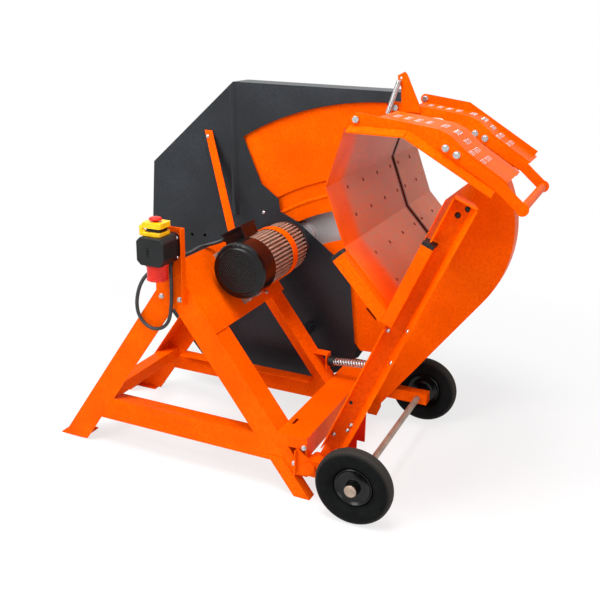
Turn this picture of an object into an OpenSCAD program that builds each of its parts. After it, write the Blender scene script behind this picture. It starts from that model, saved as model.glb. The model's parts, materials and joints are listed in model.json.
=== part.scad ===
// Rocking-cradle log saw: a tilting trough carries the log against a fixed circular blade.
// Millimetres. X runs from the blade guard to the operator, Y along the blade shaft, Z up.

/* [Frame] */
// Floor length between the outer edges of the legs
base_len = 1037; // [1022:1:1052]
// Lean of the left legs from upright, degrees
left_lean = 34.4; // [33.8:0.1:35]
// Lean of the right legs from upright, degrees
right_lean = 37.1; // [36.6:0.1:37.6]
// Front face to rear face of the A-frames
frame_depth = 484; // [474:1:494]
// Flange width of the leg angles
leg_flange = 83; // [78:1:88]
// Sheet thickness of legs, rails and beam
leg_t = 4; // [3:0.5:5]
// Lower edge of the rails above the floor
rail_low = 110; // [100:1:118]
// Height of the rails
rail_h = 84; // [76:1:92]
// Depth of the top flange on the rails
rail_d = 50; // [40:1:60]
// Side of the left foot plates
foot_side = 102; // [90:1:110]
// Thickness of the left foot plates
foot_t = 5; // [4:0.5:8]
// Width of the bolted right feet
right_foot_w = 56; // [48:1:60]
// Height of the bolted right feet
right_foot_h = 128; // [110:1:140]

/* [Pivot and wheels] */
// Pivot axis of the cradle, in from the right end of the frame
pivot_in = 45; // [40:1:50]
// Pivot axis above the floor
pivot_z = 124; // [120:1:128]
// Diameter of the pivot pins
pivot_d = 25; // [20:1:28]
// Right face of the pivot beam, short of the pivot axis
beam_gap = 17; // [15:1:19]
// Top of the pivot beam above the pivot axis
beam_rise = 96; // [88:1:100]
// Side of the square axle arms
arm_tube = 42; // [38:1:44]
// Wheel axis beyond the pivot axis
axle_reach = 162; // [158:1:168]
// Diameter of the wheels
wheel_d = 250; // [244:1:254]
// Width of the tyres
tyre_w = 56; // [50:1:60]
// Diameter of the rims
rim_d = 150; // [140:1:165]
// Diameter of the axle
axle_d = 22; // [18:1:25]

/* [Motor and blade] */
// Height of the motor feet on the right legs
motor_z = 617; // [610:1:624]
// Shaft height of the motor above its feet
shaft_h = 112; // [108:1:114]
// Thickness of the motor plate
motor_plate_t = 4; // [3:0.5:6]
// Length of the motor plate up the slope
motor_plate_l = 262; // [250:1:270]
// Radius of the fan cover
fan_r = 95; // [90:1:98]
// Radius over the cooling fins
fin_r = 88; // [84:1:89]
// Number of cooling fins
fin_n = 40; // [32:1:44]
// Front of the fan cover behind the front frame
motor_y = 126; // [118:1:134]
// Length of the fan cover
fan_l = 85; // [75:1:92]
// Diameter of the saw blade
blade_d = 700; // [690:1:700]
// Thickness of the saw blade
blade_t = 4.4; // [3:0.1:5]
// Number of saw teeth
tooth_n = 42; // [36:1:60]
// Mid-plane of the blade behind the front frame
blade_y = 646; // [644:1:648]
// Diameter of the clamping flanges
clamp_d = 100; // [90:1:110]
// Diameter of the motor shaft
shaft_d = 42; // [36:1:46]
// Diameter of the blade bore
bore_d = 30; // [25:1:32]

/* [Blade guard] */
// Front sheet of the guard behind the front frame
guard_y = 588; // [584:1:590]
// Depth over the guard sheets
guard_d = 116; // [114:1:120]
// Thickness of the guard sheets
guard_t = 2; // [1.5:0.5:3]
// Radius of the opening the cradle swings through
window_r = 1077; // [1073:1:1080]
// Left end of the opening, degrees from the floor
window_a = 121; // [120:0.5:122]

/* [Cradle] */
// Lean of the front arm from upright, degrees
arm_lean = 23; // [22.6:0.1:23.4]
// Length of the front arm
arm_l = 985; // [970:1:995]
// Front edge of the front arm
arm_y = 5; // [3:1:7]
// Depth of the front arm
arm_d = 45; // [43:1:47]
// Width of the back of the front arm
arm_w = 48; // [44:1:52]
// Splay of the right flange of the front arm
arm_splay = 22; // [16:1:26]
// Thickness of the front arm
arm_t = 4; // [3:0.5:5]
// Lowest trough corner, measured up the arm
trough_seat = 604; // [600:1:608]
// Right wall of the trough
wall_l = 353; // [345:1:358]
// Floor panel of the trough
floor_l = 213; // [209:1:216]
// Direction of the floor panel, degrees
floor_a = 133; // [132.5:0.1:133.5]
// Left panel of the trough
side_l = 180; // [177:1:183]
// Direction of the left panel, degrees
side_a = 111; // [110.5:0.1:111.5]
// Top panel of the trough
top_l = 174; // [171:1:177]
// Direction of the top panel, degrees
top_a = 73; // [72:0.1:74]
// Thickness of the trough sheet
sheet_t = 3; // [2:0.5:3]
// Front rim of the trough
trough_y = 38; // [34:1:40]
// Rear rim of the trough
trough_end = 942; // [920:1:960]
// Slot between the two trough lengths
slot_w = 18; // [16:1:20]
// Side of the square V-frame tubes
tube_w = 36; // [34:1:38]
// Radius of the shroud rim
shroud_r = 407; // [403:1:411]
// Outer radius of the shroud about the pivot
shroud_out = 1095; // [1090:1:1098]
// Lower radius of the shaft slot about the pivot
slot_in = 598; // [592:1:604]
// Upper radius of the shaft slot about the pivot
slot_out = 708; // [702:1:714]

/* [Hold-down lid] */
// Depth of the front claw
front_claw_d = 145; // [130:1:160]
// Front wall of the rear claw behind the front frame
rear_claw_y = 388; // [382:1:394]
// Depth of the rear claw
rear_claw_d = 122; // [110:1:130]
// Sheet thickness of the claws
claw_t = 4; // [3:0.5:4]
// Width of the handle bars
bar_w = 30; // [26:1:32]
// Diameter of the handle grip
grip_d = 24; // [22:1:30]
// Diameter of the hinge bolts
hinge_d = 12; // [10:1:14]

/* [Switch] */
// Width of the switch box
switch_w = 98; // [92:1:100]
// Depth of the switch box
switch_d = 102; // [96:1:106]
// Height of the switch box
switch_h = 89; // [84:1:94]
// Diameter of the power inlet
inlet_d = 76; // [66:1:78]
// Diameter of the stop button
stop_d = 40; // [34:1:46]
// Travel of the stop button
stop_travel = 5; // [4:0.5:6]
// Diameter of the motor cable
cable_d = 12; // [9:0.5:13]

/* [Clearances] */
// Gap between pieces that are welded or bolted together
seam = 0.2; // [0.1:0.05:0.3]
// Gap between pieces that move past each other
run = 0.4; // [0.3:0.05:0.6]
// Radial clearance of running bores
bore_gap = 0.08; // [0.05:0.01:0.1]

/* [Hidden] */
$fn = 48;
tl = tan(left_lean);
tr = tan(right_lean);
left_w = leg_flange / cos(left_lean);
right_w = leg_flange / cos(right_lean);
edge_l = leg_t / cos(left_lean);
edge_r = leg_t / cos(right_lean);
gap_r = seam / cos(right_lean);
rail_top = rail_low + rail_h;
leg_low = 80;
flange_top = 560;
meet_in = (base_len - right_w - gap_r - left_w) / (tl + tr);
meet_out = (base_len - right_w - gap_r) / (tl + tr);
meet_edge = (base_len - right_w) / (tl + tr);
apex_z = base_len / (tl + tr);
foot_x = -24;

pivot_x = base_len - pivot_in;
pivot = [pivot_x, pivot_z];
wheel_c = [pivot_x + axle_reach, wheel_d / 2];
arm_top = pivot_z + beam_rise - 74;
arm_bot = arm_top - arm_tube;
beam_x = pivot_x - beam_gap;
beam_top = pivot_z + beam_rise;
beam_bot = arm_top + 2 * seam;
beam_end = 660;
arm_front = -6;
arm_rear = beam_end - arm_tube;
arm_end = wheel_c[0] + 36;
front_wheel_y = -50;
rear_wheel_y = 712;

slope_n = [cos(right_lean), sin(right_lean)];
arbor = [base_len - motor_z * tr, motor_z] + (shaft_h + motor_plate_t + seam) * slope_n;
body_y = motor_y + fan_l + seam;
body_end = motor_y + 350;
shield_end = body_end + 50;
blade_f = blade_y - blade_t / 2;
blade_b = blade_y + blade_t / 2;
shaft_end = blade_b + 24;

arm_u = [cos(arm_lean), -sin(arm_lean)];
arm_s = [sin(arm_lean), cos(arm_lean)];
tube_u = tube_w / 2 - 40;
web_y = arm_y + arm_d - arm_t;
tube_y1 = web_y - seam;
tube_y0 = tube_y1 - 40;
trough_d = on_arm(tube_u - seam - sheet_t, trough_seat);
trough_e = trough_d + wall_l * arm_s;
trough_c = at(trough_d, floor_l, floor_a);
trough_b = at(trough_c, side_l, side_a);
trough_a = at(trough_b, top_l, top_a);
trough_pts = [trough_a, trough_b, trough_c, trough_d, trough_e];
clear_pts = fold_side(trough_pts, -(sheet_t + seam));
floor_dir = unit(trough_d - trough_c);
floor_out = -left_of(floor_dir);
slot_f = blade_y - slot_w / 2;
slot_b = blade_y + slot_w / 2;
plate_f = blade_y - 40;
plate_b = blade_y + 30;
plate_t = 3;
shroud_c = pivot + [47, 666];
shroud_a = -37.5;
shroud_left = window_a + 5;

hinge = trough_a + [32, 29];
claw_y = arm_y + 35;
rear_claw_end = rear_claw_y + rear_claw_d;
handle_c = hinge + [469, -199];
lever_c = on_arm(12.6, 274.8);
mast_y = rear_claw_y - seam - 6;
spring_y = frame_depth - 24;

box_x = 436;
box_y1 = -leg_t - 2 * seam;
box_y0 = box_y1 - switch_d;
box_z = 742;
box_top = box_z + switch_h;
stop_c = [box_x + 41, box_y0 + 50];
flap_axis = [stop_c[0] - 37, box_top + 27];
flap_z = box_top + 25;
flap_top = flap_z + 16;

mid_x = (foot_x + handle_c[0] + bar_w / 2 + 3) / 2;
mid_y = (box_y0 + trough_end) / 2;

ORANGE = [0.9, 0.34, 0.1];
BLACK = [0.1, 0.1, 0.11];
STEEL = [0.7, 0.71, 0.72];
RED = [0.78, 0.1, 0.08];
YELLOW = [0.95, 0.78, 0.1];

// Plane geometry

function at(p, r, a) = [p[0] + r * cos(a), p[1] + r * sin(a)];
function arc(p, r, a0, a1, n) = [for (i = [0:n]) at(p, r, a0 + (a1 - a0) * i / n)];
function unit(v) = v / norm(v);
function left_of(v) = [-v[1], v[0]];
function run_in(p, i) = unit(p[max(i, 1)] - p[max(i, 1) - 1]);
function run_out(p, i) = unit(p[min(i, len(p) - 2) + 1] - p[min(i, len(p) - 2)]);
function mitre(a, b) = (a + b) / (1 + a * b);
function fold_side(p, t) =
    [for (i = [0:len(p) - 1]) p[i] + t * mitre(left_of(run_in(p, i)), left_of(run_out(p, i)))];
function flip(p) = [for (i = [len(p) - 1:-1:0]) p[i]];
function folded(p, t) = concat(p, flip(fold_side(p, t)));
function shift(p, d) = [for (q = p) q + d];

// Lines of the frame

function left_x(z, off = 0) = z * tl + off;
function right_x(z, off = 0) = base_len - z * tr - off;
function right_pt(z, off = 0) = [right_x(z, off), z];
function left_pt(z, off = 0) = [left_x(z, off), z];
function on_arm(u, s) = pivot + u * arm_u + s * arm_s;
function lid(p) = shift(p, hinge);

// Placing

module home() {
    translate([-mid_x, -mid_y, 0])
        children();
}

module slab(y0, y1) {
    translate([0, y1, 0])
        rotate([90, 0, 0])
            linear_extrude(y1 - y0)
                children();
}

module sheet(y0, y1, points) {
    slab(y0, y1)
        polygon(points);
}

module rod(p, y0, y1, r) {
    translate([p[0], y1, p[1]])
        rotate([90, 0, 0])
            cylinder(h = y1 - y0, r = r);
}

module mirrored() {
    translate([0, frame_depth, 0])
        mirror([0, 1, 0])
            children();
}

module arm_frame() {
    translate([pivot[0], 0, pivot[1]])
        rotate([0, arm_lean, 0])
            children();
}

module slope_frame() {
    translate([right_x(motor_z), 0, motor_z])
        rotate([0, 90 - right_lean, 0])
            children();
}

module motor_frame(turn = 0) {
    translate([arbor[0], 0, arbor[1]])
        rotate([0, turn, 0])
            children();
}

module turned(p, y0, points) {
    translate([p[0], y0, p[1]])
        rotate([-90, 0, 0])
            rotate_extrude($fn = 72)
                polygon(points);
}

// Frame

module left_leg() {
    sheet(0, leg_t, [left_pt(foot_t + seam), left_pt(foot_t + seam, left_w),
        left_pt(meet_in, left_w), left_pt(meet_out)]);
    sheet(0, leg_flange, [left_pt(foot_t + seam), left_pt(foot_t + seam, edge_l),
        left_pt(flange_top, edge_l), left_pt(flange_top)]);
}

module right_leg() {
    sheet(0, leg_t, [right_pt(leg_low, right_w), right_pt(leg_low), right_pt(apex_z),
        right_pt(meet_edge, right_w)]);
    sheet(0, leg_flange, [right_pt(leg_low, edge_r), right_pt(leg_low), right_pt(apex_z - 12),
        right_pt(apex_z - 12, edge_r)]);
}

module front_left_leg() {
    color(ORANGE)
        left_leg();
}

module rear_left_leg() {
    color(ORANGE)
        mirrored()
            left_leg();
}

module front_right_leg() {
    color(ORANGE)
        right_leg();
}

module rear_right_leg() {
    color(ORANGE)
        mirrored()
            right_leg();
}

module left_feet() {
    color(ORANGE) {
        translate([foot_x + 9, 6, 0])
            cube([foot_side, 82, foot_t]);
        translate([foot_x, frame_depth - 24, 0])
            cube([foot_side + 10, 75, foot_t]);
    }
}

module right_foot() {
    y1 = -seam;
    y0 = y1 - leg_t;
    cut = leg_low - 5;
    sheet(y0, y1, [right_pt(0, right_w), right_pt(0, right_w - right_foot_w),
        right_pt(right_foot_h, right_w - right_foot_w), right_pt(right_foot_h, right_w)]);
    sheet(y0, 34, [right_pt(0, right_w - right_foot_w + edge_r), right_pt(0, right_w - right_foot_w),
        right_pt(cut, right_w - right_foot_w), right_pt(cut, right_w - right_foot_w + edge_r)]);
}

module right_feet() {
    color(ORANGE) {
        right_foot();
        mirrored()
            right_foot();
    }
}

module rail() {
    gap_l = left_w + seam / cos(left_lean);
    sheet(0, leg_t, [left_pt(rail_low, gap_l), right_pt(rail_low, right_w + gap_r),
        right_pt(rail_top, right_w + gap_r), left_pt(rail_top, gap_l)]);
    sheet(0, rail_d, [left_pt(rail_top - leg_t, gap_l), right_pt(rail_top - leg_t, right_w + gap_r),
        right_pt(rail_top, right_w + gap_r), left_pt(rail_top, gap_l)]);
}

module front_rail() {
    color(ORANGE)
        rail();
}

module rear_rail() {
    color(ORANGE)
        mirrored()
            rail();
}

module left_cross_bar() {
    top = rail_top + 10;
    x0 = left_x(top, edge_l + 3);
    color(ORANGE)
        sheet(leg_t + seam, frame_depth - leg_t - seam,
            folded([[x0, top], [x0 + 50, top], [x0 + 50, top - 44]], -leg_t));
}

module pivot_beam() {
    y0 = -leg_t - seam;
    color(ORANGE)
        difference() {
            union() {
                sheet(y0, beam_end, folded([right_pt(beam_bot, -gap_r), right_pt(beam_top, -gap_r),
                    [beam_x, beam_top], [beam_x, beam_bot]], -leg_t));
                sheet(y0, -seam, [right_pt(beam_top - 28, 33), right_pt(beam_top - 1, 0),
                    [beam_x, beam_top - 1], [beam_x, beam_top - 42], right_pt(beam_top - 42, 33)]);
            }
            translate([beam_x - 87, 67, beam_top - leg_t - 1])
                cube([11, 42, leg_t + 2]);
        }
}

module pivot_gussets() {
    y1 = arm_front - seam;
    y0 = y1 - leg_t;
    y2 = arm_rear - seam;
    color(ORANGE)
        difference() {
            union() {
                sheet(y0, y1, shift([[-51, 54], [-42, 54], [42, -6], [42, -32], [-51, -32]], pivot));
                sheet(y0 - 14, y1, shift([[-51, 54], [-47, 54], [-47, -32], [-51, -32]], pivot));
                sheet(y2 - leg_t, y2, shift([[-57, 76], [-22, 76], [-22, 22], [23, 22], [23, -64], [8, -104],
                    [-27, -104], [-42, -64]], pivot));
            }
            rod(pivot, y0 - 1, y2 + 1, pivot_d / 2 + seam);
        }
}

module pivot_pin(y0, y1, head0, head1) {
    rod(pivot, y0, y1, pivot_d / 2);
    rod(pivot, head0, head1, pivot_d / 2 + 6);
}

module pivot_pins() {
    front = arm_front - leg_t - 2 * seam;
    rear = beam_end + seam;
    color(ORANGE) {
        pivot_pin(front - 5, arm_y + arm_d + 8, front - 9, front);
        pivot_pin(plate_f - 14, rear + 5, rear, rear + 9);
    }
}

module axle_arm(y0, y1, x0) {
    difference() {
        sheet(y0, y1, [right_pt(arm_bot, -x0), [arm_end, arm_bot], [arm_end, arm_top],
            right_pt(arm_top, -x0)]);
        translate([pivot_x - 40, y0 + leg_t, arm_bot + leg_t])
            cube([arm_end, arm_tube - 2 * leg_t, arm_tube - 2 * leg_t]);
        rod(pivot, y0 - 1, y1 + 1, pivot_d / 2 + seam / 2);
        rod(wheel_c, y0 - 1, y1 + 1, axle_d / 2 + seam / 2);
    }
}

module axle_arms() {
    color(ORANGE) {
        axle_arm(arm_front, arm_front + arm_tube, gap_r);
        axle_arm(arm_rear, beam_end, gap_r);
    }
}

module wheel_axle() {
    front = front_wheel_y - tyre_w / 2;
    rear = rear_wheel_y + tyre_w / 2;
    color(STEEL) {
        rod(wheel_c, front - 6, rear + 6, axle_d / 2);
        rod(wheel_c, front - 9, front - 5, axle_d / 2 + 5);
        rod(wheel_c, rear + 5, rear + 9, axle_d / 2 + 5);
    }
}

module tyre(y_mid) {
    h = tyre_w / 2;
    r0 = rim_d / 2 + seam;
    r1 = wheel_d / 2;
    color(BLACK)
        turned(wheel_c, y_mid, [[r0, -h + 8], [r0 + 14, -h], [r1 - 16, -h], [r1 - 5, -h + 5], [r1, -h + 14],
            [r1, h - 14], [r1 - 5, h - 5], [r1 - 16, h], [r0 + 14, h], [r0, h - 8]]);
}

module wheel_rim(y_mid) {
    h = tyre_w / 2;
    r0 = axle_d / 2 + bore_gap;
    r1 = rim_d / 2;
    color(BLACK)
        turned(wheel_c, y_mid, [[r0, -h - 4], [r0 + 9, -h - 4], [r0 + 12, -8], [r1 - 10, -8],
            [r1 - 4, -h + 9], [r1, -h + 9], [r1, h - 9], [r1 - 4, h - 9], [r1 - 10, 8], [r0 + 12, 8],
            [r0 + 9, h + 4], [r0, h + 4]]);
}

module front_tyre() {
    tyre(front_wheel_y);
}

module front_wheel_rim() {
    wheel_rim(front_wheel_y);
}

module rear_tyre() {
    tyre(rear_wheel_y);
}

module rear_wheel_rim() {
    wheel_rim(rear_wheel_y);
}

// Motor

module motor_plate() {
    color(ORANGE)
        slope_frame()
            translate([-motor_plate_l / 2, 0, seam])
                cube([motor_plate_l, frame_depth + 16, motor_plate_t]);
}

function fin(i) = let (a = 360 * i / fin_n, w = 75 / fin_n) [
    at([0, 0], fin_r - 12, a - 2 * w), at([0, 0], fin_r, a - w),
    at([0, 0], fin_r, a + w), at([0, 0], fin_r - 12, a + 2 * w)];
function fins() = [for (i = [0:fin_n - 1]) for (p = fin(i)) p];

module motor_housing() {
    foot_z = motor_plate_t + 2 * seam;
    color(BLACK) {
        sheet(body_y, body_end, shift(fins(), arbor));
        rod(arbor, body_y - 8, body_y + 4, fan_r - 3 - seam);
        slope_frame()
            for (y = [body_y + 12, body_y + 92], side = [-1, 1])
                translate([side * 78 - 22, y, foot_z])
                    cube([44, 48, 12]);
        slope_frame()
            for (y = [body_y + 12, body_y + 92], side = [-1, 1])
                translate([side * 66 - 8, y, foot_z])
                    cube([16, 48, 72]);
    }
}

module motor_fan_cover() {
    color(BLACK)
        difference() {
            turned(arbor, motor_y, [[0, 0], [fan_r - 14, 0], [fan_r - 4, 4], [fan_r, 14], [fan_r, fan_l],
                [fan_r - 3, fan_l], [fan_r - 3, 14], [fan_r - 14, 3], [0, 3]]);
            for (ring = [1:3])
                for (i = [0:8 * ring - 1])
                    rod(at(arbor, 22 * ring, 45 * i / ring), motor_y - 1, motor_y + 5, 5);
        }
}

module motor_end_shield() {
    l = shield_end - body_end - seam;
    r0 = shaft_d / 2 + bore_gap;
    color(BLACK)
        turned(arbor, body_end + seam, [[r0, 0], [fin_r, 0], [fin_r, 14], [fin_r - 8, 22], [60, 36],
            [44, l - 8], [40, l], [r0, l]]);
}

module motor_terminal_box() {
    color(BLACK)
        motor_frame(-28)
            translate([-55, body_y + 4, fin_r + seam]) {
                cube([80, 92, 34]);
                translate([-3, -3, 34])
                    cube([86, 98, 10]);
            }
}

module motor_strap() {
    w = 34;
    y0 = body_end - 118;
    r = fin_r + seam;
    h = shaft_h + motor_plate_t + seam;
    z0 = motor_plate_t + 2 * seam;
    color(ORANGE)
        slope_frame() {
            translate([0, y0 + w, h])
                rotate([90, 0, 0])
                    difference() {
                        cylinder(h = w, r = r + 4);
                        translate([0, 0, -1])
                            cylinder(h = w + 2, r = r);
                        translate([-200, -400, -1])
                            cube([400, 400, w + 2]);
                    }
            for (side = [-1, 1])
                translate([side > 0 ? r : -r - 4, y0, z0])
                    cube([4, w, h - z0]);
            for (side = [-1, 1])
                translate([side > 0 ? r : -r - 26, y0, z0])
                    cube([26, w, 4]);
        }
}

// Blade guard

GUARD_BACK = [[44, window_r + 37], [-597, window_r + 40], [-950, 798], [-972, 476], [-893, 181], [-752, 20]];
GUARD_MOUTH = [[-409, 706], [-401, 659], [-331, 629], [-177, 517], [-115, 442], [-84, 176], [-67, 168],
    [-157, 101]];
function window() = arc(pivot, window_r, acos(44 / window_r), window_a, 32);
function guard_outline() = concat(window(), [at(pivot, 895, window_a + 1.4)], shift(GUARD_MOUTH, pivot),
    flip(shift(GUARD_BACK, pivot)));
guard_b = guard_y + guard_d - guard_t;

module guard_sheet(y0, hole) {
    difference() {
        sheet(y0, y0 + guard_t, guard_outline());
        if (hole > 0)
            rod(arbor, y0 - 1, y0 + guard_t + 1, hole);
        for (p = shift([[-785, 523], [-727, 527]], pivot))
            rod(p, y0 - 1, y0 + guard_t + 1, 6);
    }
}

module guard_front_sheet() {
    color(BLACK)
        guard_sheet(guard_y, shaft_d / 2 + 9);
}

module guard_rear_sheet() {
    color(BLACK)
        guard_sheet(guard_b, 0);
}

module guard_rim() {
    color(BLACK)
        sheet(guard_y + guard_t + seam, guard_b - seam,
            folded(shift(concat(GUARD_BACK, [[-212, 91.75]]), pivot), guard_t));
}

module guard_standoffs() {
    color(BLACK)
        for (p = [left_pt(400, left_w / 2), right_pt(350, right_w / 2 - 8), right_pt(610, right_w / 2)])
            translate([p[0] - 15, frame_depth + seam, p[1] - 15])
                cube([30, guard_y - frame_depth - 2 * seam, 30]);
}

module guard_strut() {
    foot = right_pt(640, right_w / 2 + 35);
    top = pivot + [-700, 923];
    rise = top[1] - foot[1];
    lean = atan2(guard_y - frame_depth - 3 * seam - 5.2, rise + 32);
    color(ORANGE)
        translate([foot[0], frame_depth + 2 * seam + 18 * sin(lean), foot[1]])
            rotate([-lean, 0, 0])
                sheet(0, 5, [[-18, -18], [16, -18], [top[0] - foot[0] + 16, rise / cos(lean) + 14],
                    [top[0] - foot[0] - 16, rise / cos(lean) + 14]]);
}

// Switch

module switch_bracket() {
    y1 = -seam;
    y0 = y1 - leg_t;
    color(ORANGE) {
        sheet(y0, y1, [[433, 593], [541, 593], [545, 600], [545, box_top + 16], [440, box_top + 16],
            [433, 660]]);
        sheet(y0 - 20, y1, [[545 - leg_t, 600], [545, 600], [545, box_top + 16],
            [545 - leg_t, box_top + 16]]);
    }
}

module switch_box() {
    x1 = box_x + switch_w;
    c = 14;
    color(BLACK)
        sheet(box_y0, box_y1, [[box_x + c, box_z], [x1 - c, box_z], [x1, box_z + 1.6 * c], [x1, box_top - c],
            [x1 - c, box_top], [box_x + c, box_top], [box_x, box_top - c], [box_x, box_z + c]]);
}

module plate_round(w, d, h, r) {
    for (x = [-1, 1], y = [-1, 1])
        translate([x * (w / 2 - r), y * (d / 2 - r), 0])
            cylinder(h = h, r = r);
    translate([-w / 2, r - d / 2, 0])
        cube([w, d - 2 * r, h]);
    translate([r - w / 2, -d / 2, 0])
        cube([w - 2 * r, d, h]);
}

module stop_base() {
    color(YELLOW)
        difference() {
            union() {
                translate([stop_c[0], stop_c[1], box_top + seam])
                    plate_round(68, 66, 21, 9);
                for (y = [-33, 21])
                    translate([stop_c[0] - 37, stop_c[1] + y, box_top + seam])
                        cube([10, 12, 21]);
                for (y = [-33, 21])
                    rod(flap_axis, stop_c[1] + y, stop_c[1] + y + 12, 5.5);
                rod(flap_axis, stop_c[1] - 33, stop_c[1] + 33, 2.4);
            }
            translate([stop_c[0], stop_c[1], box_top + 14])
                cylinder(h = 10, r = 24);
        }
}

module stop_flap() {
    color(YELLOW)
        difference() {
            union() {
                translate([stop_c[0] + 2, stop_c[1], flap_z])
                    plate_round(68, 64, flap_top - flap_z, 8);
                rod(flap_axis, stop_c[1] - 20.6, stop_c[1] + 20.6, 6);
                translate([flap_axis[0], stop_c[1] - 20.6, flap_z])
                    cube([14, 41.2, 8]);
            }
            rod(flap_axis, stop_c[1] - 22, stop_c[1] + 22, 2.4 + run);
            for (y = [-33.6, 20.6])
                translate([flap_axis[0] - 10, stop_c[1] + y, flap_z - 8])
                    cube([17, 13, 30]);
            translate([stop_c[0], stop_c[1], flap_z - 1])
                cylinder(h = 40, r = 8 + run);
        }
}

module stop_button() {
    z0 = flap_top + stop_travel + run;
    color(RED)
        translate([stop_c[0], stop_c[1], 0])
            rotate_extrude($fn = 48)
                polygon([[0, flap_z + stop_travel + 3], [8, flap_z + stop_travel + 3], [8, z0],
                    [stop_d / 2, z0], [stop_d / 2, z0 + 5], [stop_d / 2 - 4, z0 + 8], [0, z0 + 10]]);
}

module power_inlet() {
    r = inlet_d / 2;
    color(RED)
        translate([box_x + 44, box_y0 + 46, box_z - seam - 76])
            rotate_extrude($fn = 64)
                polygon([[0, 76], [r, 76], [r, 62], [r - 3, 58], [r - 3, 6], [r, 4], [r, 0], [r - 7, 0],
                    [r - 7, 54], [0, 54]]);
}

gland_a = [499, box_y1 - 11, box_z - seam];
gland_b = [-55 - seam, body_y + 30, fin_r + 24];

module cable_glands() {
    color(BLACK) {
        translate([gland_a[0], gland_a[1], gland_a[2] - 18])
            difference() {
                cylinder(h = 18, r = cable_d / 2 + 3);
                translate([0, 0, -1])
                    cylinder(h = 12, r = cable_d / 2 + seam);
            }
        motor_frame(-28)
            translate([gland_b[0], gland_b[1], gland_b[2]])
                rotate([0, -90, 0])
                    difference() {
                        cylinder(h = 18, r = cable_d / 2 + 3);
                        translate([0, 0, 6])
                            cylinder(h = 13, r = cable_d / 2 + seam);
                    }
    }
}

// Springs and cable as swept rounds

function turn_y(v, a) = [v[0] * cos(a) + v[2] * sin(a), v[1], v[2] * cos(a) - v[0] * sin(a)];
function in_motor(v) = turn_y(v, -28) + [arbor[0], 0, arbor[1]];
function cable_pts() = [gland_a - [0, 0, 8], gland_a - [0, 0, 30], [499, -15.4, 684], [499, -15.4, 645],
    [497, -15.4, 600], [490, -15.4, 552], [475, -15.4, 521], [449, -15.4, 502], [417, -15.4, 499],
    [388, -15.4, 513], [369, -15.4, 540], [364, -15.4, 573], [369, -15.4, 608], [380, -13, 642],
    [394, -2, 670], [410, 22, 688], [426, 52, 699], [442, 85, 707], [457, 118, 714.5], [471, 152, 721],
    [484.5, 185, 731.5], [497.5, 209.5, 734.5], [518, 230.5, 739.5], in_motor(gland_b - [26.8, 1.6, 0]),
    in_motor(gland_b - [9, 0, 0])];
function smooth(p, i, t) = let (a = p[max(i - 1, 0)], b = p[i], c = p[i + 1], d = p[min(i + 2, len(p) - 1)])
    0.5 * (2 * b + (c - a) * t + (2 * a - 5 * b + 4 * c - d) * t * t + (3 * b - a - 3 * c + d) * t * t * t);
function smooth_path(p, n) = concat([for (i = [0:len(p) - 2]) for (k = [0:n - 1]) smooth(p, i, k / n)],
    [p[len(p) - 1]]);
function side_of(d) = unit(cross(d, abs(d[1]) < 0.8 * norm(d) ? [0, 1, 0] : [1, 0, 0]));
function ring_at(c, e, f, r, n) =
    [for (j = [0:n - 1]) c + r * cos(360 * j / n) * e + r * sin(360 * j / n) * f];

module swept(rings, n) {
    m = len(rings);
    points = [for (ring = rings) for (p = ring) p];
    sides = [for (i = [0:m - 2]) for (j = [0:n - 1])
        [i * n + j, i * n + (j + 1) % n, (i + 1) * n + (j + 1) % n, (i + 1) * n + j]];
    first = [for (j = [n - 1:-1:0]) j];
    last = [for (j = [0:n - 1]) (m - 1) * n + j];
    polyhedron(points, concat([first], sides, [last]));
}

module round_path(p, r, n) {
    k = len(p);
    dirs = [for (i = [0:k - 1]) unit(p[min(i + 1, k - 1)] - p[max(i - 1, 0)])];
    swept([for (i = [0:k - 1]) ring_at(p[i], side_of(dirs[i]), cross(side_of(dirs[i]), dirs[i]), r, n)], n);
}

module coil(a, b, coil_r, wire_r, turns, steps, n) {
    axis = unit(b - a);
    e = side_of(axis);
    f = cross(axis, e);
    m = turns * steps;
    swept([for (i = [0:m]) let (w = 360 * i / steps, out = cos(w) * e + sin(w) * f)
        ring_at(a + (b - a) * i / m + coil_r * out, axis, out, wire_r, n)], n);
}

module motor_cable() {
    color(BLACK)
        round_path(smooth_path(cable_pts(), 3), cable_d / 2, 10);
}

bracket_x = right_x(248, -5);
lug_x = pivot_x + 20;
lug_z = pivot_z + 152;

module spring_bracket() {
    color(ORANGE)
        sheet(spring_y - 20, frame_depth - leg_t, folded([right_pt(248, -gap_r), [bracket_x, 248],
            [bracket_x, 312], [right_x(312 - leg_t, -gap_r), 312]], leg_t));
}

module return_spring() {
    a = [bracket_x + 4 + run, spring_y, 282];
    b = [lug_x - 4 - run, spring_y, 296];
    color(STEEL)
        coil(a, b, 12, 3.2, 11, 12, 8);
}

module spring_lug() {
    color(ORANGE)
        translate([lug_x, spring_y - 18, lug_z])
            cube([6, plate_f - seam - spring_y + 18, 44]);
}

// Blade

function tooth(i) = let (r = blade_d / 2, a = -360 * i / tooth_n, p = 360 / tooth_n) [
    at([0, 0], r, a), at([0, 0], r - 3, a - 0.3 * p), at([0, 0], r - 11, a - 0.62 * p),
    at([0, 0], r - 15, a - 0.82 * p), at([0, 0], r - 12, a - 0.95 * p)];
function blade_outline() = [for (i = [0:tooth_n - 1]) for (p = tooth(i)) p];

module saw_blade() {
    color(STEEL)
        difference() {
            sheet(blade_f, blade_b, shift(blade_outline(), arbor));
            rod(arbor, blade_f - 1, blade_b + 1, bore_d / 2 + seam / 2);
        }
}

module arbor_shaft() {
    color(STEEL) {
        rod(arbor, body_end + 12, blade_f - 14 - seam, shaft_d / 2);
        rod(arbor, blade_f - 16, shaft_end, bore_d / 2);
    }
}

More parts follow.
